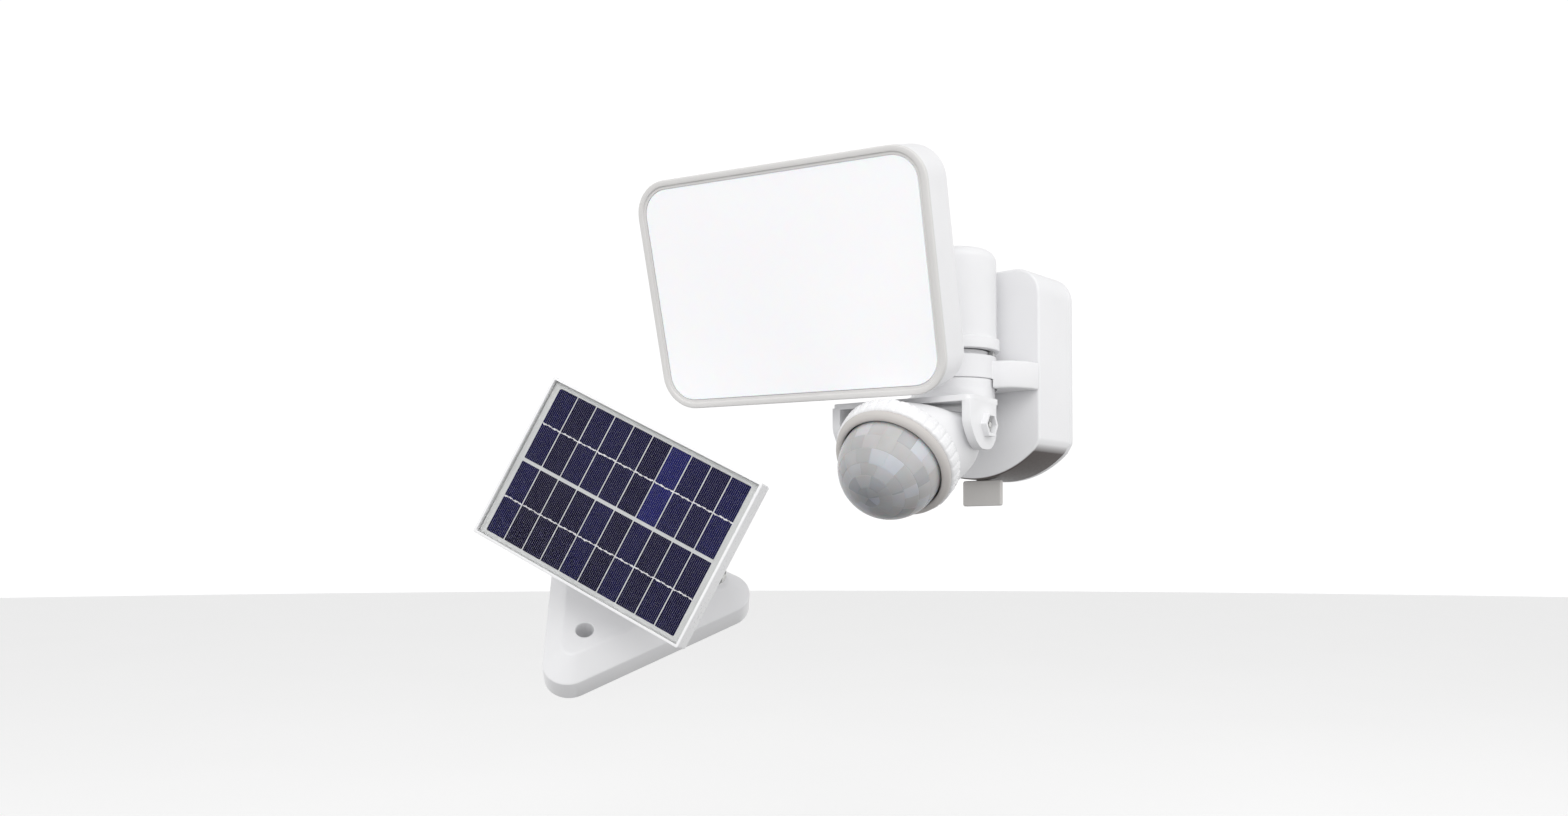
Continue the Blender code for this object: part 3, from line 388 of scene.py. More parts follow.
def cell_material():
    """Polycrystalline half cells: each cell has its own blue, with grains and fine silver fingers. UVs are in millimetres, and the cell's number is in a second map."""
    m, nodes, links, b = new_mat("solar_cell")
    uv = nodes.new("ShaderNodeUVMap")
    uv.uv_map = "mm"
    tint = nodes.new("ShaderNodeUVMap")
    tint.uv_map = "tint"
    sep = nodes.new("ShaderNodeSeparateXYZ")
    links.new(tint.outputs["UV"], sep.inputs["Vector"])
    per_cell = ramp(nodes, links, sep.outputs["X"], ((0.0, (0.004, 0.002, 0.012)), (0.3, (0.005, 0.0035, 0.026)), (0.65, (0.006, 0.006, 0.058)), (1.0, (0.008, 0.009, 0.10))))
    vor = nodes.new("ShaderNodeTexVoronoi")
    vor.inputs["Scale"].default_value = 0.55
    links.new(uv.outputs["UV"], vor.inputs["Vector"])
    grain = ramp(nodes, links, vor.outputs["Color"], ((0.0, (0.75, 0.75, 0.8)), (1.0, (1.25, 1.25, 1.4))))
    mix = nodes.new("ShaderNodeMix")
    mix.data_type, mix.blend_type = "RGBA", "MULTIPLY"
    mix.inputs["Factor"].default_value = 1.0
    links.new(per_cell, mix.inputs["A"])
    links.new(grain, mix.inputs["B"])
    sx = nodes.new("ShaderNodeSeparateXYZ")
    links.new(uv.outputs["UV"], sx.inputs["Vector"])
    fr = nodes.new("ShaderNodeMath")
    fr.operation = "MULTIPLY"
    fr.inputs[1].default_value = 1.0 / 1.255
    links.new(sx.outputs["X"], fr.inputs[0])
    fc = nodes.new("ShaderNodeMath")
    fc.operation = "FRACT"
    links.new(fr.outputs["Value"], fc.inputs[0])
    lt = nodes.new("ShaderNodeMath")
    lt.operation = "LESS_THAN"
    lt.inputs[1].default_value = 0.2
    links.new(fc.outputs["Value"], lt.inputs[0])
    mix2 = nodes.new("ShaderNodeMix")
    mix2.data_type = "RGBA"
    links.new(lt.outputs["Value"], mix2.inputs["Factor"])
    links.new(mix.outputs["Result"], mix2.inputs["A"])
    mix2.inputs["B"].default_value = (0.11, 0.11, 0.165, 1)
    links.new(mix2.outputs["Result"], b.inputs["Base Color"])
    links.new(mapped(nodes, links, vor.outputs["Distance"], 0.42, 0.5, 0.0, 1.0), b.inputs["Roughness"])
    b.inputs["Specular IOR Level"].default_value = 0.06
    return m


CELL = cell_material()
BACKING = moulded("panel_backing", (0.66, 0.67, 0.665), 0.4, bump=0.04)
RIBBON = metal("bus_ribbon", (0.66, 0.66, 0.68), 0.35, 2200.0, 0.0)


def dome_material():
    """Moulded lens dome: milky grey, cut into rectangular lens cells ring by ring. The UV map holds longitude and latitude in cells."""
    m, nodes, links, b = new_mat("sensor_lens_dome")
    uv = nodes.new("ShaderNodeUVMap")
    uv.uv_map = "cells"
    fl = nodes.new("ShaderNodeVectorMath")
    fl.operation = "FLOOR"
    links.new(uv.outputs["UV"], fl.inputs[0])
    wn = nodes.new("ShaderNodeTexWhiteNoise")
    wn.noise_dimensions = "2D"
    links.new(fl.outputs["Vector"], wn.inputs["Vector"])
    fr = nodes.new("ShaderNodeVectorMath")
    fr.operation = "FRACTION"
    links.new(uv.outputs["UV"], fr.inputs[0])
    sp = nodes.new("ShaderNodeSeparateXYZ")
    links.new(fr.outputs["Vector"], sp.inputs["Vector"])
    edge = []
    for k in ("X", "Y"):
        s = nodes.new("ShaderNodeMath")
        s.operation = "SUBTRACT"
        s.inputs[1].default_value = 0.5
        links.new(sp.outputs[k], s.inputs[0])
        ab = nodes.new("ShaderNodeMath")
        ab.operation = "ABSOLUTE"
        links.new(s.outputs["Value"], ab.inputs[0])
        edge.append(ab.outputs["Value"])
    mx = nodes.new("ShaderNodeMath")
    mx.operation = "MAXIMUM"
    links.new(edge[0], mx.inputs[0])
    links.new(edge[1], mx.inputs[1])
    groove = mapped(nodes, links, mx.outputs["Value"], 1.0, 0.0, 0.455, 0.5)
    col = ramp(nodes, links, wn.outputs["Value"], ((0.0, (0.36, 0.37, 0.385)), (0.4, (0.405, 0.405, 0.405)), (0.75, (0.44, 0.44, 0.44)), (1.0, (0.50, 0.52, 0.555))))
    v = coords(nodes, links)
    slow = noise(nodes, links, v, 45.0, 2.0)
    drift = ramp(nodes, links, slow, ((0.3, (0.92, 0.91, 0.9)), (0.7, (1.04, 1.05, 1.08))))
    mix = nodes.new("ShaderNodeMix")
    mix.data_type, mix.blend_type = "RGBA", "MULTIPLY"
    mix.inputs["Factor"].default_value = 1.0
    links.new(col, mix.inputs["A"])
    links.new(drift, mix.inputs["B"])
    rows = nodes.new("ShaderNodeSeparateXYZ")
    links.new(uv.outputs["UV"], rows.inputs["Vector"])
    # painted light and shade: the dome's colour is made lighter towards the rim and darker towards the crown, for how
    # the light falls on it
    crown = ramp(nodes, links, mapped(nodes, links, rows.outputs["Y"], 0.0, 1.0, 0.0, 6.0), ((0.0, (1.3, 1.28, 1.26)), (0.45, (1.1, 1.1, 1.1)), (0.7, (0.92, 0.92, 0.93)), (1.0, (0.66, 0.68, 0.71))))
    toned = nodes.new("ShaderNodeMix")
    toned.data_type, toned.blend_type = "RGBA", "MULTIPLY"
    toned.inputs["Factor"].default_value = 1.0
    links.new(mix.outputs["Result"], toned.inputs["A"])
    links.new(crown, toned.inputs["B"])
    links.new(toned.outputs["Result"], b.inputs["Base Color"])
    links.new(mapped(nodes, links, wn.outputs["Value"], 0.24, 0.38, 0.0, 1.0), b.inputs["Roughness"])
    b.inputs["Subsurface Weight"].default_value = 0.3
    b.inputs["Subsurface Scale"].default_value = 0.004
    b.inputs["Specular IOR Level"].default_value = 0.4
    dist = nodes.new("ShaderNodeMath")
    dist.operation = "MULTIPLY"
    links.new(sp.outputs["X"], dist.inputs[0])
    links.new(wn.outputs["Value"], dist.inputs[1])
    first = bumped(nodes, links, b, groove, 0.5, 0.00025)
    bumped(nodes, links, b, dist.outputs["Value"], 0.35, 0.0012, first)
    return m


DOME = dome_material()

# ------------------------------------------------------------------ dimensions, as in the CAD model
BOX_HALF_W, BOX_TOP, BOX_SIDE_BOTTOM, BOX_SAG, BOX_DEPTH, BOX_WALL, PLATE_T, GAP = 47.8, 67.8, -46.4, 21.4, 44.7, 2.6, 4.0, 0.3
HUB_X, HUB_Y, HUB_R, HUB_Z0, HUB_Z1 = 3.4, -74.6, 26.2, -6.6, 11.4
ARM_Z0, ARM_Z1, SLOT_Z, SLOT_FROM, SLOT_TO = -12.4, 5.0, 8.0, -46.0, 74.0
NECK_R, NECK_TOP, NECK_FILLET = 26.6, 76.8, 8.0
COLLAR_R, COLLAR_Z0, COLLAR_Z1 = 28.5, 11.7, 19.4
HEAD_W, HEAD_H, HEAD_T, HEAD_R = 190.0, 140.8, 40.0, 21.0
HEAD_CENTRE, HEAD_PAN, HEAD_TILT = (-38.2, -194.0, 42.3), 12.8, 16.9
PIVOT_BACK, PIVOT_DOWN = 60.0, 10.0
YOKE_PAN, YOKE_HALF, EAR_T, PLATE_LOW, PLATE_HIGH = 5.0, 47.3, 5.5, -28.2, -24.7
SENSOR_FWD, SENSOR_Z, SENSOR_PITCH, DOME_D, DOME_R = 50.0, -41.0, 38.0, 40.5, 31.0
FOOT_ORIGIN, FOOT_YAW, FOOT_LEAN = (-199.3, -171.8, -152.4), 44.8, 50.6
FOOT_SIDE, FOOT_R, FOOT_WALL, FOOT_BEVEL, FOOT_TURN = 174.8, 17.0, 16.0, 12.8, 29.1
FOOT_HOLE_R, FOOT_HOLE_FROM_TIP, ROD_H = 5.8, 53.3, 86.6
PANEL_SWIVEL, PANEL_TILT = -35.3, 37.06
PANEL_W, PANEL_H, PANEL_T, PANEL_OFF, PANEL_UP = 158.8, 111.2, 14.0, 21.6, 6.9


def rot(deg, axis):
    return Matrix.Rotation(math.radians(deg), 4, axis)


# ------------------------------------------------------------------ wall box
def box_outline(k=10, arc=56):
    w, top, r = BOX_HALF_W, BOX_TOP, 18.0
    pts = []
    for a0, cx in ((0, w - r), (90, -w + r)):
        for i in range(k + 1):
            a = math.radians(a0 + 90 * i / k)
            pts.append((cx + r * math.cos(a), top - r + r * math.sin(a)))
    rad = (w * w + BOX_SAG * BOX_SAG) / (2 * BOX_SAG)
    half = math.asin(w / rad)
    cz = BOX_SIDE_BOTTOM - BOX_SAG + rad
    pts += [(-w, BOX_SIDE_BOTTOM + 4.0), (-w + 0.12, BOX_SIDE_BOTTOM + 2.0)]
    for i in range(2, arc - 1):
        a = -math.pi / 2 - half * 0.965 + 2 * half * 0.965 * i / arc
        pts.append((rad * math.cos(a), cz + rad * math.sin(a)))
    pts += [(w - 0.12, BOX_SIDE_BOTTOM + 2.0), (w, BOX_SIDE_BOTTOM + 4.0)]
    return pts


def at_depth(outline, y):
    return [(x, y, z) for x, z in outline]


o0 = box_outline()
rings = [at_depth(inset(o0, BOX_WALL), -BOX_DEPTH + BOX_WALL), at_depth(inset(o0, BOX_WALL), -PLATE_T - GAP), at_depth(inset(o0, 0.5), -PLATE_T - GAP), at_depth(o0, -PLATE_T - GAP - 0.5)]
for a in range(0, 91, 15):
    f = 1.8
    rings.append(at_depth(inset(o0, f * (1 - math.cos(math.radians(a)))), -BOX_DEPTH + f - f * math.sin(math.radians(a))))
box = mesh_object("box_shell", skin(rings))
carve(box, cuts=[shift(lathe([(5.6, -8), (5.6, 8)], 48), -6.0, -24.0, -64.0)])
finish_piece(box, BOX_WHITE, "wall_unit", ["wall_box"], smooth=30)
plate_ob = mesh_object("back_plate", skin([at_depth(inset(o0, 0.6), 0.0), at_depth(inset(o0, 0.2), -0.2), at_depth(o0, -0.7), at_depth(o0, -PLATE_T + 0.4), at_depth(inset(o0, 0.4), -PLATE_T)]))
holes = [shift(along_y(lathe([(2.6, -8), (2.6, 2.0), (4.6, 3.6), (4.6, 8.0)], 32)), x, 0, z) for x, z in ((0.0, 50.0), (-30.0, -36.0), (30.0, -36.0))]
holes += [shift(along_y(lathe([(3.6, -1.0), (3.6, 2.9)], 32)), x, 0, z) for x, z in ((-39.5, 54.0), (39.5, -38.0))]
carve(plate_ob, cuts=holes)
finish_piece(plate_ob, WHITE, "wall_unit", ["wall_plate"])
guard = mesh_object("splash_tab", skin([[(x, y, z - 76.6) for x, z in rounded_rect(w, h, 1.4, 5)] for w, h, y in ((28.2, 16.2, -37.4), (28.7, 16.7, -37.1), (29.0, 17.0, -36.6), (29.0, 17.0, -34.6), (28.7, 16.7, -34.1), (28.2, 16.2, -33.9))]))
finish_piece(guard, TAB, "wall_unit", ["splash_guard"])

# ------------------------------------------------------------------ hub with its flared arm
HUB_M = Matrix.Translation((HUB_X, HUB_Y, 0))


def smooth_open(points, steps=6):
    """A Catmull-Rom line through points."""
    out = []
    pts = [Vector(p) for p in points]
    ext = [pts[0] * 2 - pts[1]] + pts + [pts[-1] * 2 - pts[-2]]
    for i in range(1, len(ext) - 2):
        p0, p1, p2, p3 = ext[i - 1], ext[i], ext[i + 1], ext[i + 2]
        for s in range(steps):
            t = s / steps
            out.append(tuple(0.5 * ((2 * p1) + (p2 - p0) * t + (2 * p0 - 5 * p1 + 4 * p2 - p3) * t * t + (3 * p1 - p0 - 3 * p2 + p3) * t ** 3)))
    out.append(tuple(pts[-1]))
    return out


right = smooth_open([(HUB_R - 0.6, 2.0), (33.6, 6.1), (39.6, 13.6), (42.9, 21.6), (44.0, 29.3)])
left = smooth_open([(-HUB_R + 0.6, 2.0), (-34.4, 6.1), (-42.4, 13.6), (-48.4, 21.6), (-50.8, 29.3)])
arm = right + list(reversed(left))
arm_rings = [[(x, y, ARM_Z0) for x, y in inset(arm, 1.4)]]
for a in range(0, 91, 30):
    d = 1.4 * (1 - math.sin(math.radians(a)))
    arm_rings.append([(x, y, ARM_Z0 + 1.4 - 1.4 * math.cos(math.radians(a))) for x, y in inset(arm, d)])
for a in range(0, 91, 30):
    d = 1.4 * (1 - math.cos(math.radians(a)))
    arm_rings.append([(x, y, ARM_Z1 - 1.4 + 1.4 * math.sin(math.radians(a))) for x, y in inset(arm, d)])
hub = mesh_object("hub_and_arm", skin(arm_rings[1:]), HUB_M)
slot_o = [(40 * math.cos(math.radians(a)), 40 * math.sin(math.radians(a))) for a in [SLOT_FROM + (SLOT_TO - SLOT_FROM) * i / 40 for i in range(41)]]
slot_o += [(21.8 * math.cos(math.radians(a)), 21.8 * math.sin(math.radians(a))) for a in [SLOT_TO + (SLOT_FROM - SLOT_TO) * i / 40 for i in range(41)]]
carve(hub, adds=[lathe([(HUB_R - 0.4, HUB_Z0), (HUB_R, HUB_Z0 + 0.4), (HUB_R, HUB_Z1 - 0.3), (HUB_R - 0.3, HUB_Z1)], 128)],
      cuts=[lathe([(26.8, -20), (26.8, HUB_Z0 + 0.01)], 128), plate(slot_o, SLOT_Z, HUB_Z1 + 3), lathe([(7.0, -20), (7.0, 20)], 48)], matrix=HUB_M)
finish_piece(hub, WHITE, "wall_unit", ["hub_arm"], smooth=30)
# a dark ring lining the inner wall of the swivel slot: painted shade for the shadow gap under the collar
slot_shade_piece = mesh_object("slot_shade_ring", lathe([(20.6, HUB_Z1 - 3.3), (21.7, HUB_Z1 - 3.3), (21.7, HUB_Z1 - 0.1), (20.6, HUB_Z1 - 0.1)], 96, closed=True), HUB_M)
finish_piece(slot_shade_piece, SLOT_SHADE_PAINT, "wall_unit", ())

# ------------------------------------------------------------------ neck
prof = [(16.0, 73.8), (21.5, 72.2), (23.0, 67.0), (23.0, 21.0), (5.0, 21.0), (5.0, 17.0), (23.4, 17.0), (23.4, COLLAR_Z0), (COLLAR_R - 0.4, COLLAR_Z0), (COLLAR_R, COLLAR_Z0 + 0.4),
        (COLLAR_R, COLLAR_Z1 - 1.0), (COLLAR_R - 0.15, COLLAR_Z1 - 0.5), (COLLAR_R - 0.5, COLLAR_Z1 - 0.15), (COLLAR_R - 1.0, COLLAR_Z1), (NECK_R + 0.15, COLLAR_Z1), (NECK_R, COLLAR_Z1 + 0.2)]
prof += [(NECK_R - NECK_FILLET + NECK_FILLET * math.cos(math.radians(a)), NECK_TOP - NECK_FILLET + NECK_FILLET * math.sin(math.radians(a))) for a in range(0, 91, 6)]
tube = mesh_object("neck_shell", lathe(prof, 128), HUB_M)
finish_piece(tube, WHITE, "neck", ["neck_tube"], smooth=30)

ex = Vector((math.cos(math.radians(HEAD_PAN)), math.sin(math.radians(HEAD_PAN)), 0))
n_out = Vector((math.sin(math.radians(HEAD_PAN)) * math.cos(math.radians(HEAD_TILT)), -math.cos(math.radians(HEAD_PAN)) * math.cos(math.radians(HEAD_TILT)), -math.sin(math.radians(HEAD_TILT))))
ez = ex.cross(-n_out)
if ez.z < 0:
    ez = -ez
PIVOT = Vector(HEAD_CENTRE) - n_out * PIVOT_BACK - ez * PIVOT_DOWN
to_pivot = PIVOT - Vector((HUB_X, HUB_Y, 0))
reach = math.hypot(to_pivot.x, to_pivot.y)
ARM_M = Matrix.Translation((HUB_X, HUB_Y, PIVOT.z)) @ Matrix.Rotation(math.atan2(to_pivot.y, to_pivot.x), 4, "Z")
FORK_R, FORK_IN, FORK_OUT = 8.0, 11.3, 16.5
narm = mesh_object("neck_bracket", skin([[(x, y, z) for y, z in rounded_rect(w, h, 4.0, 6)] for x, w, h in ((NECK_R - 1.6, 26.0, 40.0), (NECK_R + 2.0, 23.4, 37.4), (NECK_R + 6.0, 20.6, 34.6), (NECK_R + 12.0, 18.2, 33.4), (reach - 24.0, 17.0, 2 * FORK_OUT), (reach - 20.5, 17.0, 2 * FORK_OUT))]), ARM_M)
adds = []
for z0, z1 in ((FORK_IN, FORK_OUT), (-FORK_OUT, -FORK_IN)):
    tongue = [(reach + FORK_R * math.cos(math.radians(a)), FORK_R * math.sin(math.radians(a))) for a in range(-90, 91, 6)] + [(reach - 23.0, 8.0), (reach - 23.0, -8.0)]
    adds.append(plate(tongue, z0, z1))
carve(narm, adds=adds, cuts=[lathe([(NECK_R + GAP, -60), (NECK_R + GAP, 60)], 128), shift(lathe([(2.6, -30), (2.6, 30)], 32), reach, 0, 0)], matrix=ARM_M)
finish_piece(narm, WHITE, "neck", ["neck_arm"], bevel=0.5)

# ------------------------------------------------------------------ knuckle
KN_M = Matrix.Translation(PIVOT) @ rot(HEAD_PAN, "Z")
kn = mesh_object("knuckle_block", block(-10.3, 10.3, -7.0, 7.0, -11.0, 11.0), KN_M)
carve(kn, cuts=[lathe([(2.2, -30), (2.2, 30)], 32), along_x(lathe([(2.2, -30), (2.2, 30)], 32))], matrix=KN_M)
finish_piece(kn, WHITE, "knuckle", ["knuckle"], bevel=0.9)


def cross_screw(name, matrix, body, node, shank_r, shank_l, head_r, head_h, mat=STEEL):
    """A pan-head screw with a cross recess, its head standing on z = 0."""
    ob = mesh_object(name, lathe([(shank_r * 0.5, -shank_l), (shank_r, -shank_l + shank_r * 0.5), (shank_r, 0), (head_r, 0), (head_r, head_h * 0.35), (head_r * 0.96, head_h * 0.6), (head_r * 0.82, head_h * 0.82), (head_r * 0.55, head_h * 0.96), (head_r * 0.2, head_h)], 40), matrix)
    w, l = head_r * 0.14, head_r * 0.55
    carve(ob, cuts=[block(-l, l, -w, w, head_h * 0.45, head_h * 2), block(-w, w, -l, l, head_h * 0.45, head_h * 2)], matrix=matrix)
    return finish_piece(ob, mat, body, [node], smooth=35)


cross_screw("pan_screw_above", KN_M @ Matrix.Translation((0, 0, FORK_OUT + GAP)), "knuckle", "pan_screw_top", 1.9, 13.2, 4.4, 2.6)
cross_screw("pan_screw_below", KN_M @ Matrix.Translation((0, 0, -FORK_OUT - GAP)) @ rot(180, "X"), "knuckle", "pan_screw_low", 1.9, 13.2, 4.4, 2.6)

# ------------------------------------------------------------------ lamp head
HEAD_M = Matrix.Translation(PIVOT) @ rot(HEAD_PAN, "Z") @ rot(HEAD_TILT, "X")
TILT_M = HEAD_M
FY, CZ = -PIVOT_BACK, PIVOT_DOWN


def face(w, h, r, y, k=10):
    return [(x, y, CZ + z) for x, z in rounded_rect(w, h, r, k)]


def back_rings(w, h, r, t, fillet, y0, step=7.5):
    rings = [face(w, h, r, y0)]
    a = 0.0
    while a <= 90.001:
        s = fillet * (1 - math.cos(math.radians(a)))
        rings.append(face(w - 2 * s, h - 2 * s, max(1.5, r - s * 0.9), FY + t - fillet + fillet * math.sin(math.radians(a))))
        a += step
    return rings


outer = [face(HEAD_W - 0.5, HEAD_H - 0.5, HEAD_R - 0.25, FY + 3.4)] + back_rings(HEAD_W, HEAD_H, HEAD_R, HEAD_T, 9.0, FY + 3.7)
hollow = back_rings(HEAD_W - 5.0, HEAD_H - 5.0, HEAD_R - 2.5, HEAD_T - 2.5, 7.5, FY + 3.4, 15.0)
housing = mesh_object("lamp_housing", skin(list(reversed(hollow)) + outer), HEAD_M)
carve(housing, cuts=[shift(along_y(lathe([(1.7, -9), (1.7, 9)], 24)), x, FY + HEAD_T, z) for x, z in ((-19.3, 5.0), (19.3, -5.0))] + [shift(along_y(lathe([(4.0, -9), (4.0, 9)], 32)), 0, FY + HEAD_T, -2.0)], matrix=HEAD_M)
finish_piece(housing, WHITE, "head", ["head_housing"], smooth=30)

bez = []
for w, y in ((10.4, 3.1), (0.4, 3.1), (0.0, 2.8), (0.0, 1.0), (0.3, 0.45), (0.8, 0.12), (1.5, 0.0), (6.2, 0.0), (6.9, 0.15), (7.3, 0.5), (7.5, 0.9), (10.4, 0.9)):
    bez.append(face(HEAD_W - w, HEAD_H - w, HEAD_R - w / 2, FY + y))
bz = mesh_object("lamp_rim", skin(bez, cap=False), HEAD_M)
finish_piece(bz, BEZEL, "head", ["head_bezel"], smooth=40)
ln = []
for w, y in ((11.6, 1.0), (11.1, 1.2), (10.9, 1.5), (10.9, 3.2), (7.0, 3.7), (7.0, 5.6)):
    ln.append(face(HEAD_W - w, HEAD_H - w, HEAD_R - w / 2, FY + y))
lens = mesh_object("lamp_diffuser", skin(ln), HEAD_M)
finish_piece(lens, LENS, "head", ["head_lens"], smooth=25)

BK = FY + HEAD_T + GAP
brk = mesh_object("head_clevis", skin([[(x, y, z) for x, z in rounded_rect(w, h, r, 6)] for w, h, r, y in ((46.0, 22.0, 5.0, BK), (46.0, 22.0, 5.0, BK + 2.2), (45.6, 21.6, 4.8, BK + 2.7), (44.8, 20.8, 4.4, BK + 3.0))]), HEAD_M)
ears = []
for x0, x1 in ((-15.8, -10.7), (10.7, 15.8)):
    ear = [(9.0 * math.cos(math.radians(a)), 9.0 * math.sin(math.radians(a))) for a in range(-90, 91, 6)] + [(BK + 1.5, 10.4), (BK + 1.5, -10.4)]
    ears.append(skin([[(x0, y, z) for y, z in ear], [(x1, y, z) for y, z in ear]]))
carve(brk, adds=ears, cuts=[along_x(lathe([(2.6, -30), (2.6, 30)], 32)), shift(along_y(lathe([(4.0, -9), (4.0, 9)], 32)), 0, BK, -2.0)], matrix=HEAD_M)
finish_piece(brk, WHITE, "head", ["head_bracket"], bevel=0.45)
cross_screw("tilt_screw_l", KN_M @ rot(HEAD_TILT, "X") @ Matrix.Translation((-15.8 - GAP, 0, 0)) @ rot(-90, "Y"), "knuckle", "tilt_screw_left", 1.9, 13.0, 4.4, 2.6)
cross_screw("tilt_screw_r", KN_M @ rot(HEAD_TILT, "X") @ Matrix.Translation((15.8 + GAP, 0, 0)) @ rot(90, "Y"), "knuckle", "tilt_screw_right", 1.9, 13.0, 4.4, 2.6)

# ------------------------------------------------------------------ sensor yoke
def hexagon(r, z0, z1):
    """A six-sided block whose corners lie at radius r."""
    return skin([[(r * math.cos(math.radians(q + 30)), r * math.sin(math.radians(q + 30)), z) for q in range(0, 360, 60)] for z in (z0, z1)])


YOKE_M = HUB_M @ rot(YOKE_PAN, "Z")
yoke_plan = [(24.0, 8.0), (YOKE_HALF, -36.0), (YOKE_HALF, -68.3), (YOKE_HALF - 0.9, -70.4), (YOKE_HALF - 3.0, -71.3), (-YOKE_HALF + 3.0, -71.3), (-YOKE_HALF + 0.9, -70.4), (-YOKE_HALF, -68.3), (-YOKE_HALF, -36.0), (-24.0, 8.0)]


def reach_of(t):
    """How far the yoke's outline is from the hub axis in one direction."""
    c, q = math.cos(t), math.sin(t)
    best = 25.5
    for (x0, y0), (x1, y1) in zip(yoke_plan, yoke_plan[1:] + yoke_plan[:1]):
        ex_, ey_ = x1 - x0, y1 - y0
        den = c * ey_ - q * ex_
        if abs(den) > 1e-9:
            d, u = (x0 * ey_ - y0 * ex_) / den, (x0 * q - y0 * c) / den
            if d > 0 and -1e-9 <= u <= 1 + 1e-9:
                best = max(best, d)
    return best


turns = sorted([2 * math.pi * i / 144 for i in range(144)] + [math.atan2(y, x) % (2 * math.pi) for x, y in yoke_plan if y < 0])
reaches = [reach_of(t) for t in turns]
flare = [(PLATE_LOW, 1.0)] + [(z, min(1.0, max(0.0, f))) for z, f in smooth_open([(PLATE_HIGH, 1.0), (-23.6, 0.62), (-21.6, 0.34), (-18.4, 0.13), (-14.6, 0.02), (-10.0, 0.0)], 4)] + [(HUB_Z0 - GAP, 0.0)]
yoke = mesh_object("sensor_bracket", skin([[((25.5 + (d - 25.5) * f) * math.cos(t), (25.5 + (d - 25.5) * f) * math.sin(t), z) for t, d in zip(turns, reaches)] for z, f in flare]), YOKE_M)
ear_side = [(-37.6, PLATE_LOW + 1.0), (-37.6, -46.0), (-38.6, -48.9), (-41.0, -52.0), (-44.6, -54.6), (-49.0, -55.5), (-56.0, -55.5), (-60.5, -53.8), (-64.2, -51.0), (-67.5, -47.0), (-70.4, -42.4), (-71.3, -39.0), (-71.3, PLATE_LOW + 1.0)]
adds = []
for s in (-1, 1):
    a, b = sorted((s * (YOKE_HALF - EAR_T), s * YOKE_HALF))
    adds.append(skin([[(a, y, z) for y, z in ear_side], [(b, y, z) for y, z in ear_side]]))
    adds.append(shift(along_x(hexagon(7.9, *((a + 0.5, b + 3.4) if s > 0 else (a - 3.4, b - 0.5)))), 0, -SENSOR_FWD, SENSOR_Z))
cuts = [lathe([(18.0, PLATE_LOW - 2), (18.0, HUB_Z0 - 5.0)], 96), lathe([(5.0, -40), (5.0, 10)], 48), shift(along_x(lathe([(2.4, -60), (2.4, 60)], 32)), 0, -SENSOR_FWD, SENSOR_Z),
        shift(along_x(hexagon(5.9, YOKE_HALF - 2.6, YOKE_HALF + 8)), 0, -SENSOR_FWD, SENSOR_Z)]
carve(yoke, adds=adds, cuts=cuts, matrix=YOKE_M)
finish_piece(yoke, WHITE, "yoke", ["sensor_yoke"], bevel=0.7, segments=3)

# ------------------------------------------------------------------ sensor body
SENS_M = YOKE_M @ Matrix.Translation((0, -SENSOR_FWD, SENSOR_Z)) @ rot(SENSOR_PITCH, "X")


def oval(hw, up, down, d, p, n=96):
    ring = []
    for i in range(n):
        a = 2 * math.pi * i / n
        c, s = math.cos(a), math.sin(a)
        x = math.copysign(abs(c) ** (2 / p), c) * hw
        z = math.copysign(abs(s) ** (2 / p), s) * (up if s > 0 else down)
        ring.append((x, -d, z))
    return ring


def through(stations, steps=5):
    """Smoothly interpolated stations (depth, half width, up, down, squareness)."""
    out = []
    for i in range(len(stations) - 1):
        p0 = stations[max(0, i - 1)]
        p1, p2 = stations[i], stations[i + 1]
        p3 = stations[min(len(stations) - 1, i + 2)]
        for s in range(steps):
            t = s / steps
            out.append(tuple(0.5 * ((2 * b) + (c - a) * t + (2 * a - 5 * b + 4 * c - d) * t * t + (3 * b - a - 3 * c + d) * t ** 3) for a, b, c, d in zip(p0, p1, p2, p3)))
    out.append(stations[-1])
    return out


SHELL = ((-9.0, 34.0, 4.0, 12.0, 3.4), (-6.0, 38.6, 7.0, 16.5, 3.6), (0.0, 40.6, 12.0, 22.5, 3.6), (8.0, 40.8, 19.0, 28.5, 3.2), (14.0, 39.4, 27.5, 32.5, 2.6), (25.0, 37.0, 36.0, 36.0, 2.0))
LINER = ((-6.4, 31.5, 1.5, 9.5, 3.4), (0.0, 38.0, 9.6, 20.0, 3.6), (8.0, 38.2, 16.4, 26.0, 3.2), (14.0, 36.8, 24.8, 30.0, 2.6), (25.0, 34.2, 33.2, 33.2, 2.0))
sb = mesh_object("sensor_shell", skin([oval(hw, u, d, y, p) for y, hw, u, d, p in LINER] + [oval(hw, u, d, y, p) for y, hw, u, d, p in reversed(through(SHELL))]), SENS_M)
carve(sb, cuts=[along_x(lathe([(1.9, -60), (1.9, 60)], 24))], matrix=SENS_M)
finish_piece(sb, WHITE, "sensor", ["sensor_housing"], smooth=35)


def turned(profile, n=96, closed=True):
    return move(lathe(profile, n, closed), rot(90, "X"))


def ribbed(k, i, n):
    """Ribs round the collar: groups of raised lands with narrow grooves."""
    t = (i * 36.0 / n) % 1.0
    return 0.55 * k * (1.0 if 0.18 < t < 0.82 else (t / 0.18 if t <= 0.18 else (1 - t) / 0.18))


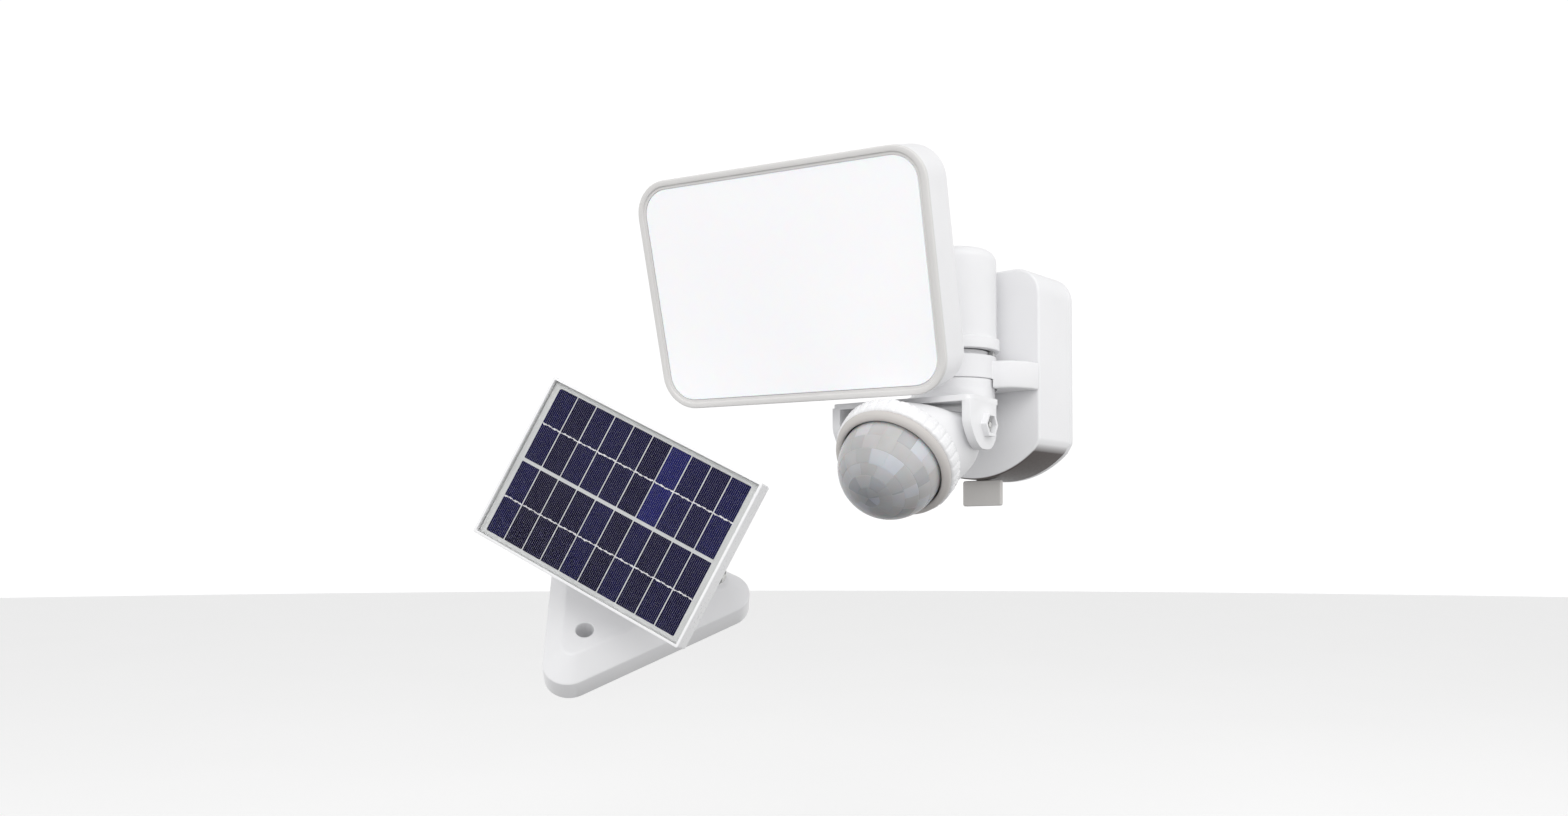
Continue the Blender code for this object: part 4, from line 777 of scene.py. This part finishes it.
NR = 36 * 10
col = skin([[((r + ribbed(k, i, NR)) * math.cos(2 * math.pi * i / NR), -y, (r + ribbed(k, i, NR)) * math.sin(2 * math.pi * i / NR)) for i in range(NR)]
            for r, y, k in ((32.4, 25.4, 0), (37.3, 25.4, 0), (37.7, 25.8, 1), (38.0, 26.8, 1), (37.4, 34.4, 1), (37.1, 35.2, 0.5), (36.5, 35.6, 0), (32.4, 35.6, 0))], cap=False)
cl = mesh_object("collar_ring", col, SENS_M)
finish_piece(cl, WHITE_GLOSS, "sensor", ["sensor_collar"], smooth=40)
dr = mesh_object("bezel_ring", turned([(31.9, 35.9), (36.5, 35.9), (36.8, 36.2), (36.7, 37.3), (36.3, 38.4), (35.6, 39.3), (34.5, 40.0), (33.2, 40.4), (32.4, 40.1), (31.9, 39.4)]), SENS_M)
finish_piece(dr, RING, "sensor", ["dome_ring"], smooth=50)

# the dome: a sphere cap with longitude and latitude in lens cells as its UVs
dome_bm = bmesh.new()
uvl = dome_bm.loops.layers.uv.new("cells")
LAT = ((0.0, 20), (17.0, 18), (34.0, 15), (50.0, 11), (64.0, 8), (77.0, 5), (90.0, 1))
grid, NL = [], 120
lats = [-9.0 + 99.0 * i / 48 for i in range(49)]
for la in lats:
    if la > 89.9:
        grid.append([dome_bm.verts.new((0, -(DOME_D + DOME_R), 0))] * NL)
        continue
    rr = DOME_R * math.cos(math.radians(max(la, 0.0)))
    yy = DOME_D + (DOME_R * math.sin(math.radians(la)) if la > 0 else la * 0.5)
    grid.append([dome_bm.verts.new((rr * math.cos(2 * math.pi * j / NL), -yy, rr * math.sin(2 * math.pi * j / NL))) for j in range(NL)])


def lens_cell(lat, lon):
    """Row and column of a point on the dome, as continuous numbers."""
    for (l0, c0), (l1, _) in zip(LAT, LAT[1:]):
        if lat < l1 or l1 >= 90.0:
            row = LAT.index((l0, c0)) + min(0.999, max(0.0, (lat - l0) / (l1 - l0)))
            return (lon * c0 + row // 1 * 0.37, row)
    return (lon, 6.0)


for i in range(48):
    mid = (lats[i] + lats[i + 1]) / 2
    for j in range(NL):
        quad = [grid[i][j], grid[i][(j + 1) % NL], grid[i + 1][(j + 1) % NL], grid[i + 1][j]]
        ll = [(lats[i], j), (lats[i], j + 1), (lats[i + 1], j + 1), (lats[i + 1], j)]
        if i == 47:
            quad, ll = quad[:3], ll[:3]
        f = dome_bm.faces.new(quad)
        base = lens_cell(max(mid, 0.01), 0.0)
        row = int(base[1])
        l0, c0 = LAT[min(row, len(LAT) - 2)]
        l1 = LAT[min(row, len(LAT) - 2) + 1][0]
        for loop, (la, jj) in zip(f.loops, ll):
            v = row + min(1.0, max(0.0, (max(la, 0.0) - l0) / (l1 - l0)))
            loop[uvl].uv = (jj / NL * c0 + row * 0.37, v)
dome = mesh_object("lens_dome", dome_bm, SENS_M)
finish_piece(dome, DOME, "sensor", ["sensor_dome"], smooth=60)


def hex_nut(across, height, bore, n=60):
    def hexr(a):
        return across / 2 / math.cos((a % (math.pi / 3)) - math.pi / 6)
    rings = []
    for o, h in ((across / 2 * 0.98, 0.0), (None, 0.25), (None, height - 0.25), (across / 2 * 0.98, height)):
        rings.append([((min(o, hexr(2 * math.pi * i / n)) if o else hexr(2 * math.pi * i / n)) * math.cos(2 * math.pi * i / n), (min(o, hexr(2 * math.pi * i / n)) if o else hexr(2 * math.pi * i / n)) * math.sin(2 * math.pi * i / n), h) for i in range(n)])
    for r, h in ((bore * 1.12, height), (bore, height - 0.4), (bore, 0.4), (bore * 1.12, 0)):
        rings.append([(r * math.cos(2 * math.pi * i / n), r * math.sin(2 * math.pi * i / n), h) for i in range(n)])
    return skin(rings, cap=False)


YP = YOKE_M @ Matrix.Translation((0, -SENSOR_FWD, SENSOR_Z))
finish_piece(mesh_object("pivot_nut", hex_nut(7.6, 3.0, 2.0), SENS_M @ Matrix.Translation((YOKE_HALF - 2.2, 0, 0)) @ rot(90, "Y")), STEEL, "yoke", ["sensor_nut"])
cross_screw("sensor_pivot_screw", SENS_M @ Matrix.Translation((-YOKE_HALF - 3.4 - GAP, 0, 0)) @ rot(-90, "Y"), "sensor", "sensor_screw", 1.6, 11.2, 3.4, 2.2)
finish_piece(mesh_object("yoke_nut", hex_nut(16.0, 6.0, 5.0), YOKE_M @ Matrix.Translation((0, 0, -19.5))), STEEL, "wall_unit", ["swivel_nut"])

# ------------------------------------------------------------------ panel foot
FOOT_M = Matrix.Translation(FOOT_ORIGIN) @ rot(FOOT_YAW, "Z") @ rot(FOOT_LEAN, "X")


def triangle(side, r, k=14):
    pts = []
    big = side / math.sqrt(3)
    for t in (210, 330, 90):
        a = math.radians(FOOT_TURN + t)
        cx, cy = (big - 2 * r) * math.cos(a), (big - 2 * r) * math.sin(a)
        for i in range(k + 1):
            b = a - math.pi / 3 + 2 * math.pi / 3 * i / k
            pts.append((cx + r * math.cos(b), cy + r * math.sin(b)))
    return pts


def tri_ring(d, z, r=None):
    return [(x, y, z) for x, y in triangle(FOOT_SIDE - 2 * math.sqrt(3) * d, FOOT_R - 0.78 * d if r is None else r)]


FOOT_TOP = FOOT_WALL + FOOT_BEVEL
ft = [tri_ring(12.0, FOOT_TOP - 6.5), tri_ring(4.0, 13.5), tri_ring(4.0, 0.0), tri_ring(0.5, 0.0), tri_ring(0.15, 0.15), tri_ring(0.0, 0.5), tri_ring(0.0, FOOT_WALL - 1.2), tri_ring(0.12, FOOT_WALL - 0.5), tri_ring(0.45, FOOT_WALL), tri_ring(0.95, FOOT_WALL + 0.5),
      tri_ring(FOOT_BEVEL - 1.2, FOOT_TOP - 0.75), tri_ring(FOOT_BEVEL - 0.5, FOOT_TOP - 0.3), tri_ring(FOOT_BEVEL + 0.3, FOOT_TOP - 0.06), tri_ring(FOOT_BEVEL + 1.2, FOOT_TOP)]
foot = mesh_object("foot_shell", skin(ft), FOOT_M)
cuts, posts = [], []
for t in (210, 330, 90):
    a = math.radians(FOOT_TURN + t)
    rr = FOOT_SIDE / math.sqrt(3) - FOOT_HOLE_FROM_TIP
    posts.append(shift(lathe([(8.8, 0.4), (8.8, FOOT_TOP - 3.0)], 64), rr * math.cos(a), rr * math.sin(a), 0))
    cuts.append(shift(lathe([(FOOT_HOLE_R, -10.0), (FOOT_HOLE_R, FOOT_TOP - 0.5), (FOOT_HOLE_R + 0.6, FOOT_TOP + 0.1), (FOOT_HOLE_R + 0.6, 60.0)], 64), rr * math.cos(a), rr * math.sin(a), 0))
cuts.append(lathe([(5.2, 5), (5.2, 60)], 48))
carve(foot, adds=posts, cuts=cuts, matrix=FOOT_M)
finish_piece(foot, WHITE, "wall_unit", ["panel_foot"], smooth=24)

# ------------------------------------------------------------------ stem
STEM_M = FOOT_M @ rot(PANEL_SWIVEL, "Z")
SEAT = FOOT_TOP + GAP
st = mesh_object("stem_post", lathe([(18.6, SEAT), (19.0, SEAT + 0.4), (19.0, SEAT + 2.6), (18.7, SEAT + 3.4), (17.5, SEAT + 4.5), (14.0, SEAT + 5.8), (11.6, SEAT + 7.2), (10.0, SEAT + 9.4), (9.0, SEAT + 12.5), (8.4, SEAT + 17.0), (7.6, ROD_H - 14.0), (8.0, ROD_H - 6.0)], 96), STEM_M)
carve(st, adds=[shift(along_x(lathe([(8.6, -13.0), (9.3, -12.6), (9.6, -12.0), (9.6, 12.0), (9.3, 12.6), (8.6, 13.0)], 96)), z=ROD_H)],
      cuts=[shift(along_x(lathe([(3.3, -30), (3.3, 30)], 48)), z=ROD_H)], matrix=STEM_M)
finish_piece(st, WHITE, "stem", ["panel_stem"], smooth=30)

# ------------------------------------------------------------------ panel
PAN_M = STEM_M @ Matrix.Translation((0, 0, ROD_H)) @ rot(PANEL_TILT, "X")
FR = PANEL_OFF


def sheet(w, h, r, z, k=4):
    return [(x, PANEL_UP + y, z) for x, y in rounded_rect(w, h, r, k)]


fr = mesh_object("panel_rim", skin([sheet(PANEL_W - 3.6, PANEL_H - 3.6, 0.6, FR - 5.4), sheet(PANEL_W - 3.6, PANEL_H - 3.6, 0.6, FR - PANEL_T), sheet(PANEL_W - 0.8, PANEL_H - 0.8, 0.8, FR - PANEL_T), sheet(PANEL_W - 0.1, PANEL_H - 0.1, 1.1, FR - PANEL_T + 0.3),
                                    sheet(PANEL_W, PANEL_H, 1.2, FR - PANEL_T + 0.6), sheet(PANEL_W, PANEL_H, 1.2, FR - 0.6), sheet(PANEL_W - 0.2, PANEL_H - 0.2, 1.1, FR - 0.2), sheet(PANEL_W - 0.8, PANEL_H - 0.8, 0.9, FR), sheet(PANEL_W - 3.4, PANEL_H - 3.4, 0.6, FR),
                                    sheet(PANEL_W - 3.6, PANEL_H - 3.6, 0.5, FR - 0.15), sheet(PANEL_W - 3.6, PANEL_H - 3.6, 0.5, FR - 4.4), sheet(PANEL_W - 6.6, PANEL_H - 6.6, 0.5, FR - 4.4), sheet(PANEL_W - 6.6, PANEL_H - 6.6, 0.5, FR - 5.4)], cap=False), PAN_M)
finish_piece(fr, FRAME_ALU, "panel", ["panel_frame"], smooth=35)
gl = mesh_object("panel_cover", skin([sheet(PANEL_W - 4.2, PANEL_H - 4.2, 0.5, FR - 2.6), sheet(PANEL_W - 4.2, PANEL_H - 4.2, 0.5, FR - 0.9), sheet(PANEL_W - 4.8, PANEL_H - 4.8, 0.4, FR - 0.6)]), PAN_M)
finish_piece(gl, GLASS, "panel", ["panel_glass"], smooth=25)

bk = mesh_object("cell_backing", skin([sheet(PANEL_W - 4.4, PANEL_H - 4.4, 0.5, FR - 4.1), sheet(PANEL_W - 4.4, PANEL_H - 4.4, 0.5, FR - 3.25)]), PAN_M)
finish_piece(bk, BACKING, "panel", ["cell_sheet"], smooth=25)

FIELD_W, FIELD_H, COLS = 145.6, 101.4, 10
COL_GAP, ROW_GAP = 0.85, 2.3
cw = (FIELD_W - COL_GAP * (COLS - 1)) / COLS
ch = (FIELD_H - ROW_GAP) / 2
bm = bmesh.new()
u1 = bm.loops.layers.uv.new("mm")
u2 = bm.loops.layers.uv.new("tint")
ZC = FR - 3.0
for row in range(2):
    y1 = PANEL_UP + FIELD_H / 2 - row * (ch + ROW_GAP)
    for c in range(COLS):
        x0 = -FIELD_W / 2 + c * (cw + COL_GAP)
        h = math.sin(c * 12.9898 + row * 78.233 + 4.1) * 43758.5453
        tint = 0.12 + 0.4 * (h - math.floor(h))
        if row == 0 and c == 6:
            tint = 1.0
        if c in (0, COLS - 1):
            tint = min(0.7, tint + 0.2)
        y0 = y1 - ch
        cc = 1.1 if (row == 0 and c == 0) else 0.35
        pts = [(x0 + 0.35, y0), (x0 + cw - 0.35, y0), (x0 + cw, y0 + 0.35), (x0 + cw, y1 - 0.35), (x0 + cw - 0.35, y1), (x0 + cc, y1), (x0, y1 - cc), (x0, y0 + 0.35)]
        top = [bm.verts.new((x, y, ZC)) for x, y in pts]
        low = [bm.verts.new((x, y, ZC - 0.2)) for x, y in pts]
        faces = [bm.faces.new(top)] + [bm.faces.new((low[i], low[(i + 1) % 8], top[(i + 1) % 8], top[i])) for i in range(8)] + [bm.faces.new(list(reversed(low)))]
        for f in faces:
            for loop in f.loops:
                loop[u1].uv = (loop.vert.co.x - x0, loop.vert.co.y)
                loop[u2].uv = (tint, 0.5)
cells = mesh_object("cell_array", bm, PAN_M)
finish_piece(cells, CELL, "panel", (), smooth=25)

# bus ribbons: flat tinned strips, crimped into small waves over each column gap
for row in range(2):
    bm = bmesh.new()
    yc = PANEL_UP + FIELD_H / 2 - row * (ch + ROW_GAP) - ch / 2
    prev = None
    n = 600
    for i in range(n + 1):
        x = -FIELD_W / 2 + 0.2 + (FIELD_W + 1.4) * i / n
        ph = x * 2 * math.pi / 5.2 + row
        wob = 0.16 * math.sin(ph * 0.83) + 0.14 * math.sin(ph * 2.37 + 1.0) + 0.1 * math.sin(ph * 0.31 + 2.0)
        hw = 0.38 + 0.14 * math.sin(ph * 1.31 + 0.6) + 0.08 * math.sin(ph * 0.57)
        z = ZC + 0.07 + 0.05 * math.sin(ph * 3.1)
        cur = [bm.verts.new((x, yc + wob + hw, z)), bm.verts.new((x, yc + wob - hw, z)), bm.verts.new((x, yc + wob - hw, z - 0.06)), bm.verts.new((x, yc + wob + hw, z - 0.06))]
        if prev:
            for a in range(4):
                bm.faces.new((prev[a], prev[(a + 1) % 4], cur[(a + 1) % 4], cur[a]))
        else:
            bm.faces.new(cur)
        prev = cur
    bm.faces.new(list(reversed(prev)))
    finish_piece(mesh_object(f"bus_ribbon_{row + 1}", bm, PAN_M), RIBBON, "panel", (), smooth=30)

back = mesh_object("panel_rear", skin([sheet(PANEL_W - 4.4, PANEL_H - 4.4, 0.6, FR - 7.9), sheet(PANEL_W - 4.4, PANEL_H - 4.4, 0.6, FR - 5.7)]), PAN_M)
finish_piece(back, WHITE, "panel", ["panel_back"], bevel=0.2)
for nm, x in (("rod_lug_left", -66.0), ("rod_lug_right", 66.0)):
    side = [(9.0 * math.cos(math.radians(a)), 9.0 * math.sin(math.radians(a))) for a in range(180, 361, 6)] + [(12.0, FR - 8.1), (-12.0, FR - 8.1)]
    lug = mesh_object(nm + "_shape", skin([[(x - 3.0, y, z) for y, z in side], [(x + 3.0, y, z) for y, z in side]]), PAN_M)
    carve(lug, cuts=[shift(along_x(lathe([(3.3, -20), (3.3, 20)], 32)), x=x)], matrix=PAN_M)
    finish_piece(lug, WHITE, "panel", [nm], bevel=0.4)
rod = mesh_object("tilt_shaft", along_x(lathe([(2.6, -78.0), (3.0, -77.6), (3.0, 77.6), (2.6, 78.0)], 48)), PAN_M)
finish_piece(rod, STEEL, "panel", ["tilt_rod"])
for nm, s in (("rod_knob_left", -1), ("rod_knob_right", 1)):
    NK = 24 * 8
    kp = ((3.3, 69.6, 0), (5.6, 69.6, 0), (6.0, 69.9, 1), (6.0, 75.2, 1), (5.5, 75.8, 0), (4.6, 76.0, 0), (3.3, 76.0, 0))
    kb = skin([[((r + 0.35 * k * (0.5 + 0.5 * math.cos(24 * 2 * math.pi * i / NK))) * math.cos(2 * math.pi * i / NK), (r + 0.35 * k * (0.5 + 0.5 * math.cos(24 * 2 * math.pi * i / NK))) * math.sin(2 * math.pi * i / NK), z) for i in range(NK)] for r, z, k in kp], cap=False)
    finish_piece(mesh_object(nm + "_grip", kb, PAN_M @ rot(90 * s, "Y")), KNOB, "panel", [nm], smooth=45)
jb = mesh_object("lead_box", skin([[(x, 32.0 + y, z) for x, y in rounded_rect(w, h, r, 6)] for w, h, r, z in ((44.0, 26.0, 3.0, FR - 8.2), (44.0, 26.0, 3.0, FR - 16.4), (43.4, 25.4, 2.8, FR - 17.4), (41.8, 23.8, 2.2, FR - 18.2))]), PAN_M)
finish_piece(jb, BLACK, "panel", ["junction_box"], smooth=30)
gp = [(2.2, 22.3), (5.0, 22.3), (5.0, 24.0), (4.6, 24.3)]
for i in range(4):
    gp += [(4.4 - i * 0.25, 24.8 + i * 1.3), (3.7 - i * 0.2, 25.3 + i * 1.3), (3.7 - i * 0.2, 25.8 + i * 1.3), (4.2 - i * 0.25, 26.0 + i * 1.3)]
gp += [(3.2, 30.0), (2.2, 30.0)]
finish_piece(mesh_object("lead_boot", shift(along_x(lathe(gp, 48, closed=True)), 0, 32.0, FR - 12.8), PAN_M), RUBBER, "panel", ["lead_gland"], smooth=40)

# ------------------------------------------------------------------ carried-over CAD nodes
BY_SLOT = {"white_shell": WHITE, "bezel_grey": BEZEL, "opal_lens": LENS, "sensor_lens": DOME, "panel_cover_glass": GLASS, "solar_cells": BACKING, "steel": STEEL, "black_plastic": BLACK,
           "knob_grey": KNOB, "seal_rubber": RUBBER, "battery_wrap": BATTERY, "board": GREEN_BOARD, "white_board": WHITE_BOARD, "reflector": REFLECT}
for sub in frame["record"]["subparts"]:
    node = NODES.get(sub["node"])
    if node is not None:
        node.data.materials.clear()
        node.data.materials.append(BY_SLOT[sub["material_slot"]])

# ------------------------------------------------------------------ camera
cam_data = bpy.data.cameras.new("view_camera")
cam_data.sensor_width = 36.0
cam_data.lens = 29.58
cam_data.shift_x = 0.0
cam_data.shift_y = 0.0713
cam_data.clip_start, cam_data.clip_end = 0.01, 50.0
cam = bpy.data.objects.new("view_camera", cam_data)
cam.location = (0.4519, -0.7753, -0.1167)
cam.rotation_euler = (math.radians(91.5), 0.0, math.radians(40.2))
COLL.objects.link(cam)
bpy.context.scene.camera = cam

# ------------------------------------------------------------------ floor and light
FLOOR_Z = -0.40
fm, fn, fl_, fb = new_mat("studio_floor")
fv = coords(fn, fl_)
fl_.new(ramp(fn, fl_, noise(fn, fl_, fv, 3.0, 2.0), ((0.3, (0.955, 0.955, 0.955)), (0.7, (0.965, 0.965, 0.965)))), fb.inputs["Base Color"])
fb.inputs["Roughness"].default_value = 0.9
fb.inputs["Specular IOR Level"].default_value = 0.05
fb.inputs["Emission Color"].default_value = (1.0, 1.0, 1.0, 1.0)
fb.inputs["Emission Strength"].default_value = 0.1
bm = bmesh.new()
R = 9.0
vs = [bm.verts.new((R * math.cos(2 * math.pi * i / 64), R * math.sin(2 * math.pi * i / 64), FLOOR_Z)) for i in range(64)]
bm.faces.new(vs)
me = bpy.data.meshes.new("studio_floor")
bm.to_mesh(me)
bm.free()
me.materials.append(fm)
floor = bpy.data.objects.new("studio_floor", me)
COLL.objects.link(floor)
floor.visible_diffuse = False
floor.visible_glossy = False
floor.visible_transmission = False

world = bpy.data.worlds.new("studio")
bpy.context.scene.world = world
world.use_nodes = True
bg = world.node_tree.nodes["Background"]
wn_, wl_ = world.node_tree.nodes, world.node_tree.links
wtc = wn_.new("ShaderNodeTexCoord")
wsp = wn_.new("ShaderNodeSeparateXYZ")
wl_.new(wtc.outputs["Generated"], wsp.inputs["Vector"])
wmr = wn_.new("ShaderNodeMapRange")
wmr.interpolation_type = "SMOOTHSTEP"
wmr.inputs["From Min"].default_value = -0.80
wmr.inputs["From Max"].default_value = -0.05
wmr.inputs["To Min"].default_value = 0.32
wmr.inputs["To Max"].default_value = 1.13
wl_.new(wsp.outputs["Z"], wmr.inputs["Value"])
over = wn_.new("ShaderNodeMapRange")
over.interpolation_type = "SMOOTHSTEP"
over.inputs["From Min"].default_value = 0.15
over.inputs["From Max"].default_value = 0.95
over.inputs["To Min"].default_value = 1.0
over.inputs["To Max"].default_value = 0.5
wl_.new(wsp.outputs["Z"], over.inputs["Value"])
graded = wn_.new("ShaderNodeMath")
graded.operation = "MULTIPLY"
wl_.new(wmr.outputs["Result"], graded.inputs[0])
wl_.new(over.outputs["Result"], graded.inputs[1])
wl_.new(graded.outputs["Value"], bg.inputs["Strength"])
bg.inputs["Color"].default_value = (1.0, 1.0, 1.0, 1.0)
# the lens sees plain white all round, and only the light on the object is graded
plain = wn_.new("ShaderNodeBackground")
plain.inputs["Color"].default_value = (1.0, 1.0, 1.0, 1.0)
plain.inputs["Strength"].default_value = 1.05
path = wn_.new("ShaderNodeLightPath")
both = wn_.new("ShaderNodeMixShader")
wl_.new(path.outputs["Is Camera Ray"], both.inputs["Fac"])
wl_.new(bg.outputs["Background"], both.inputs[1])
wl_.new(plain.outputs["Background"], both.inputs[2])
wl_.new(both.outputs["Shader"], wn_["World Output"].inputs["Surface"])


def area(name, loc, target, size, power):
    d = bpy.data.lights.new(name, "AREA")
    d.shape = "RECTANGLE"
    d.size, d.size_y = size
    d.energy = power
    o = bpy.data.objects.new(name, d)
    o.location = loc
    o.rotation_euler = (Vector(target) - Vector(loc)).to_track_quat("-Z", "Y").to_euler()
    COLL.objects.link(o)


area("key_light", (0.9, -1.7, 1.1), (-0.05, -0.1, 0.0), (1.3, 1.3), 11.0)
area("side_light", (1.5, -0.35, 1.5), (0.0, -0.1, 0.0), (1.1, 1.1), 7.5)
bpy.context.scene.view_settings.view_transform = "Standard"
bpy.context.scene.view_settings.look = "None"
bpy.context.scene.view_settings.exposure = 0.0
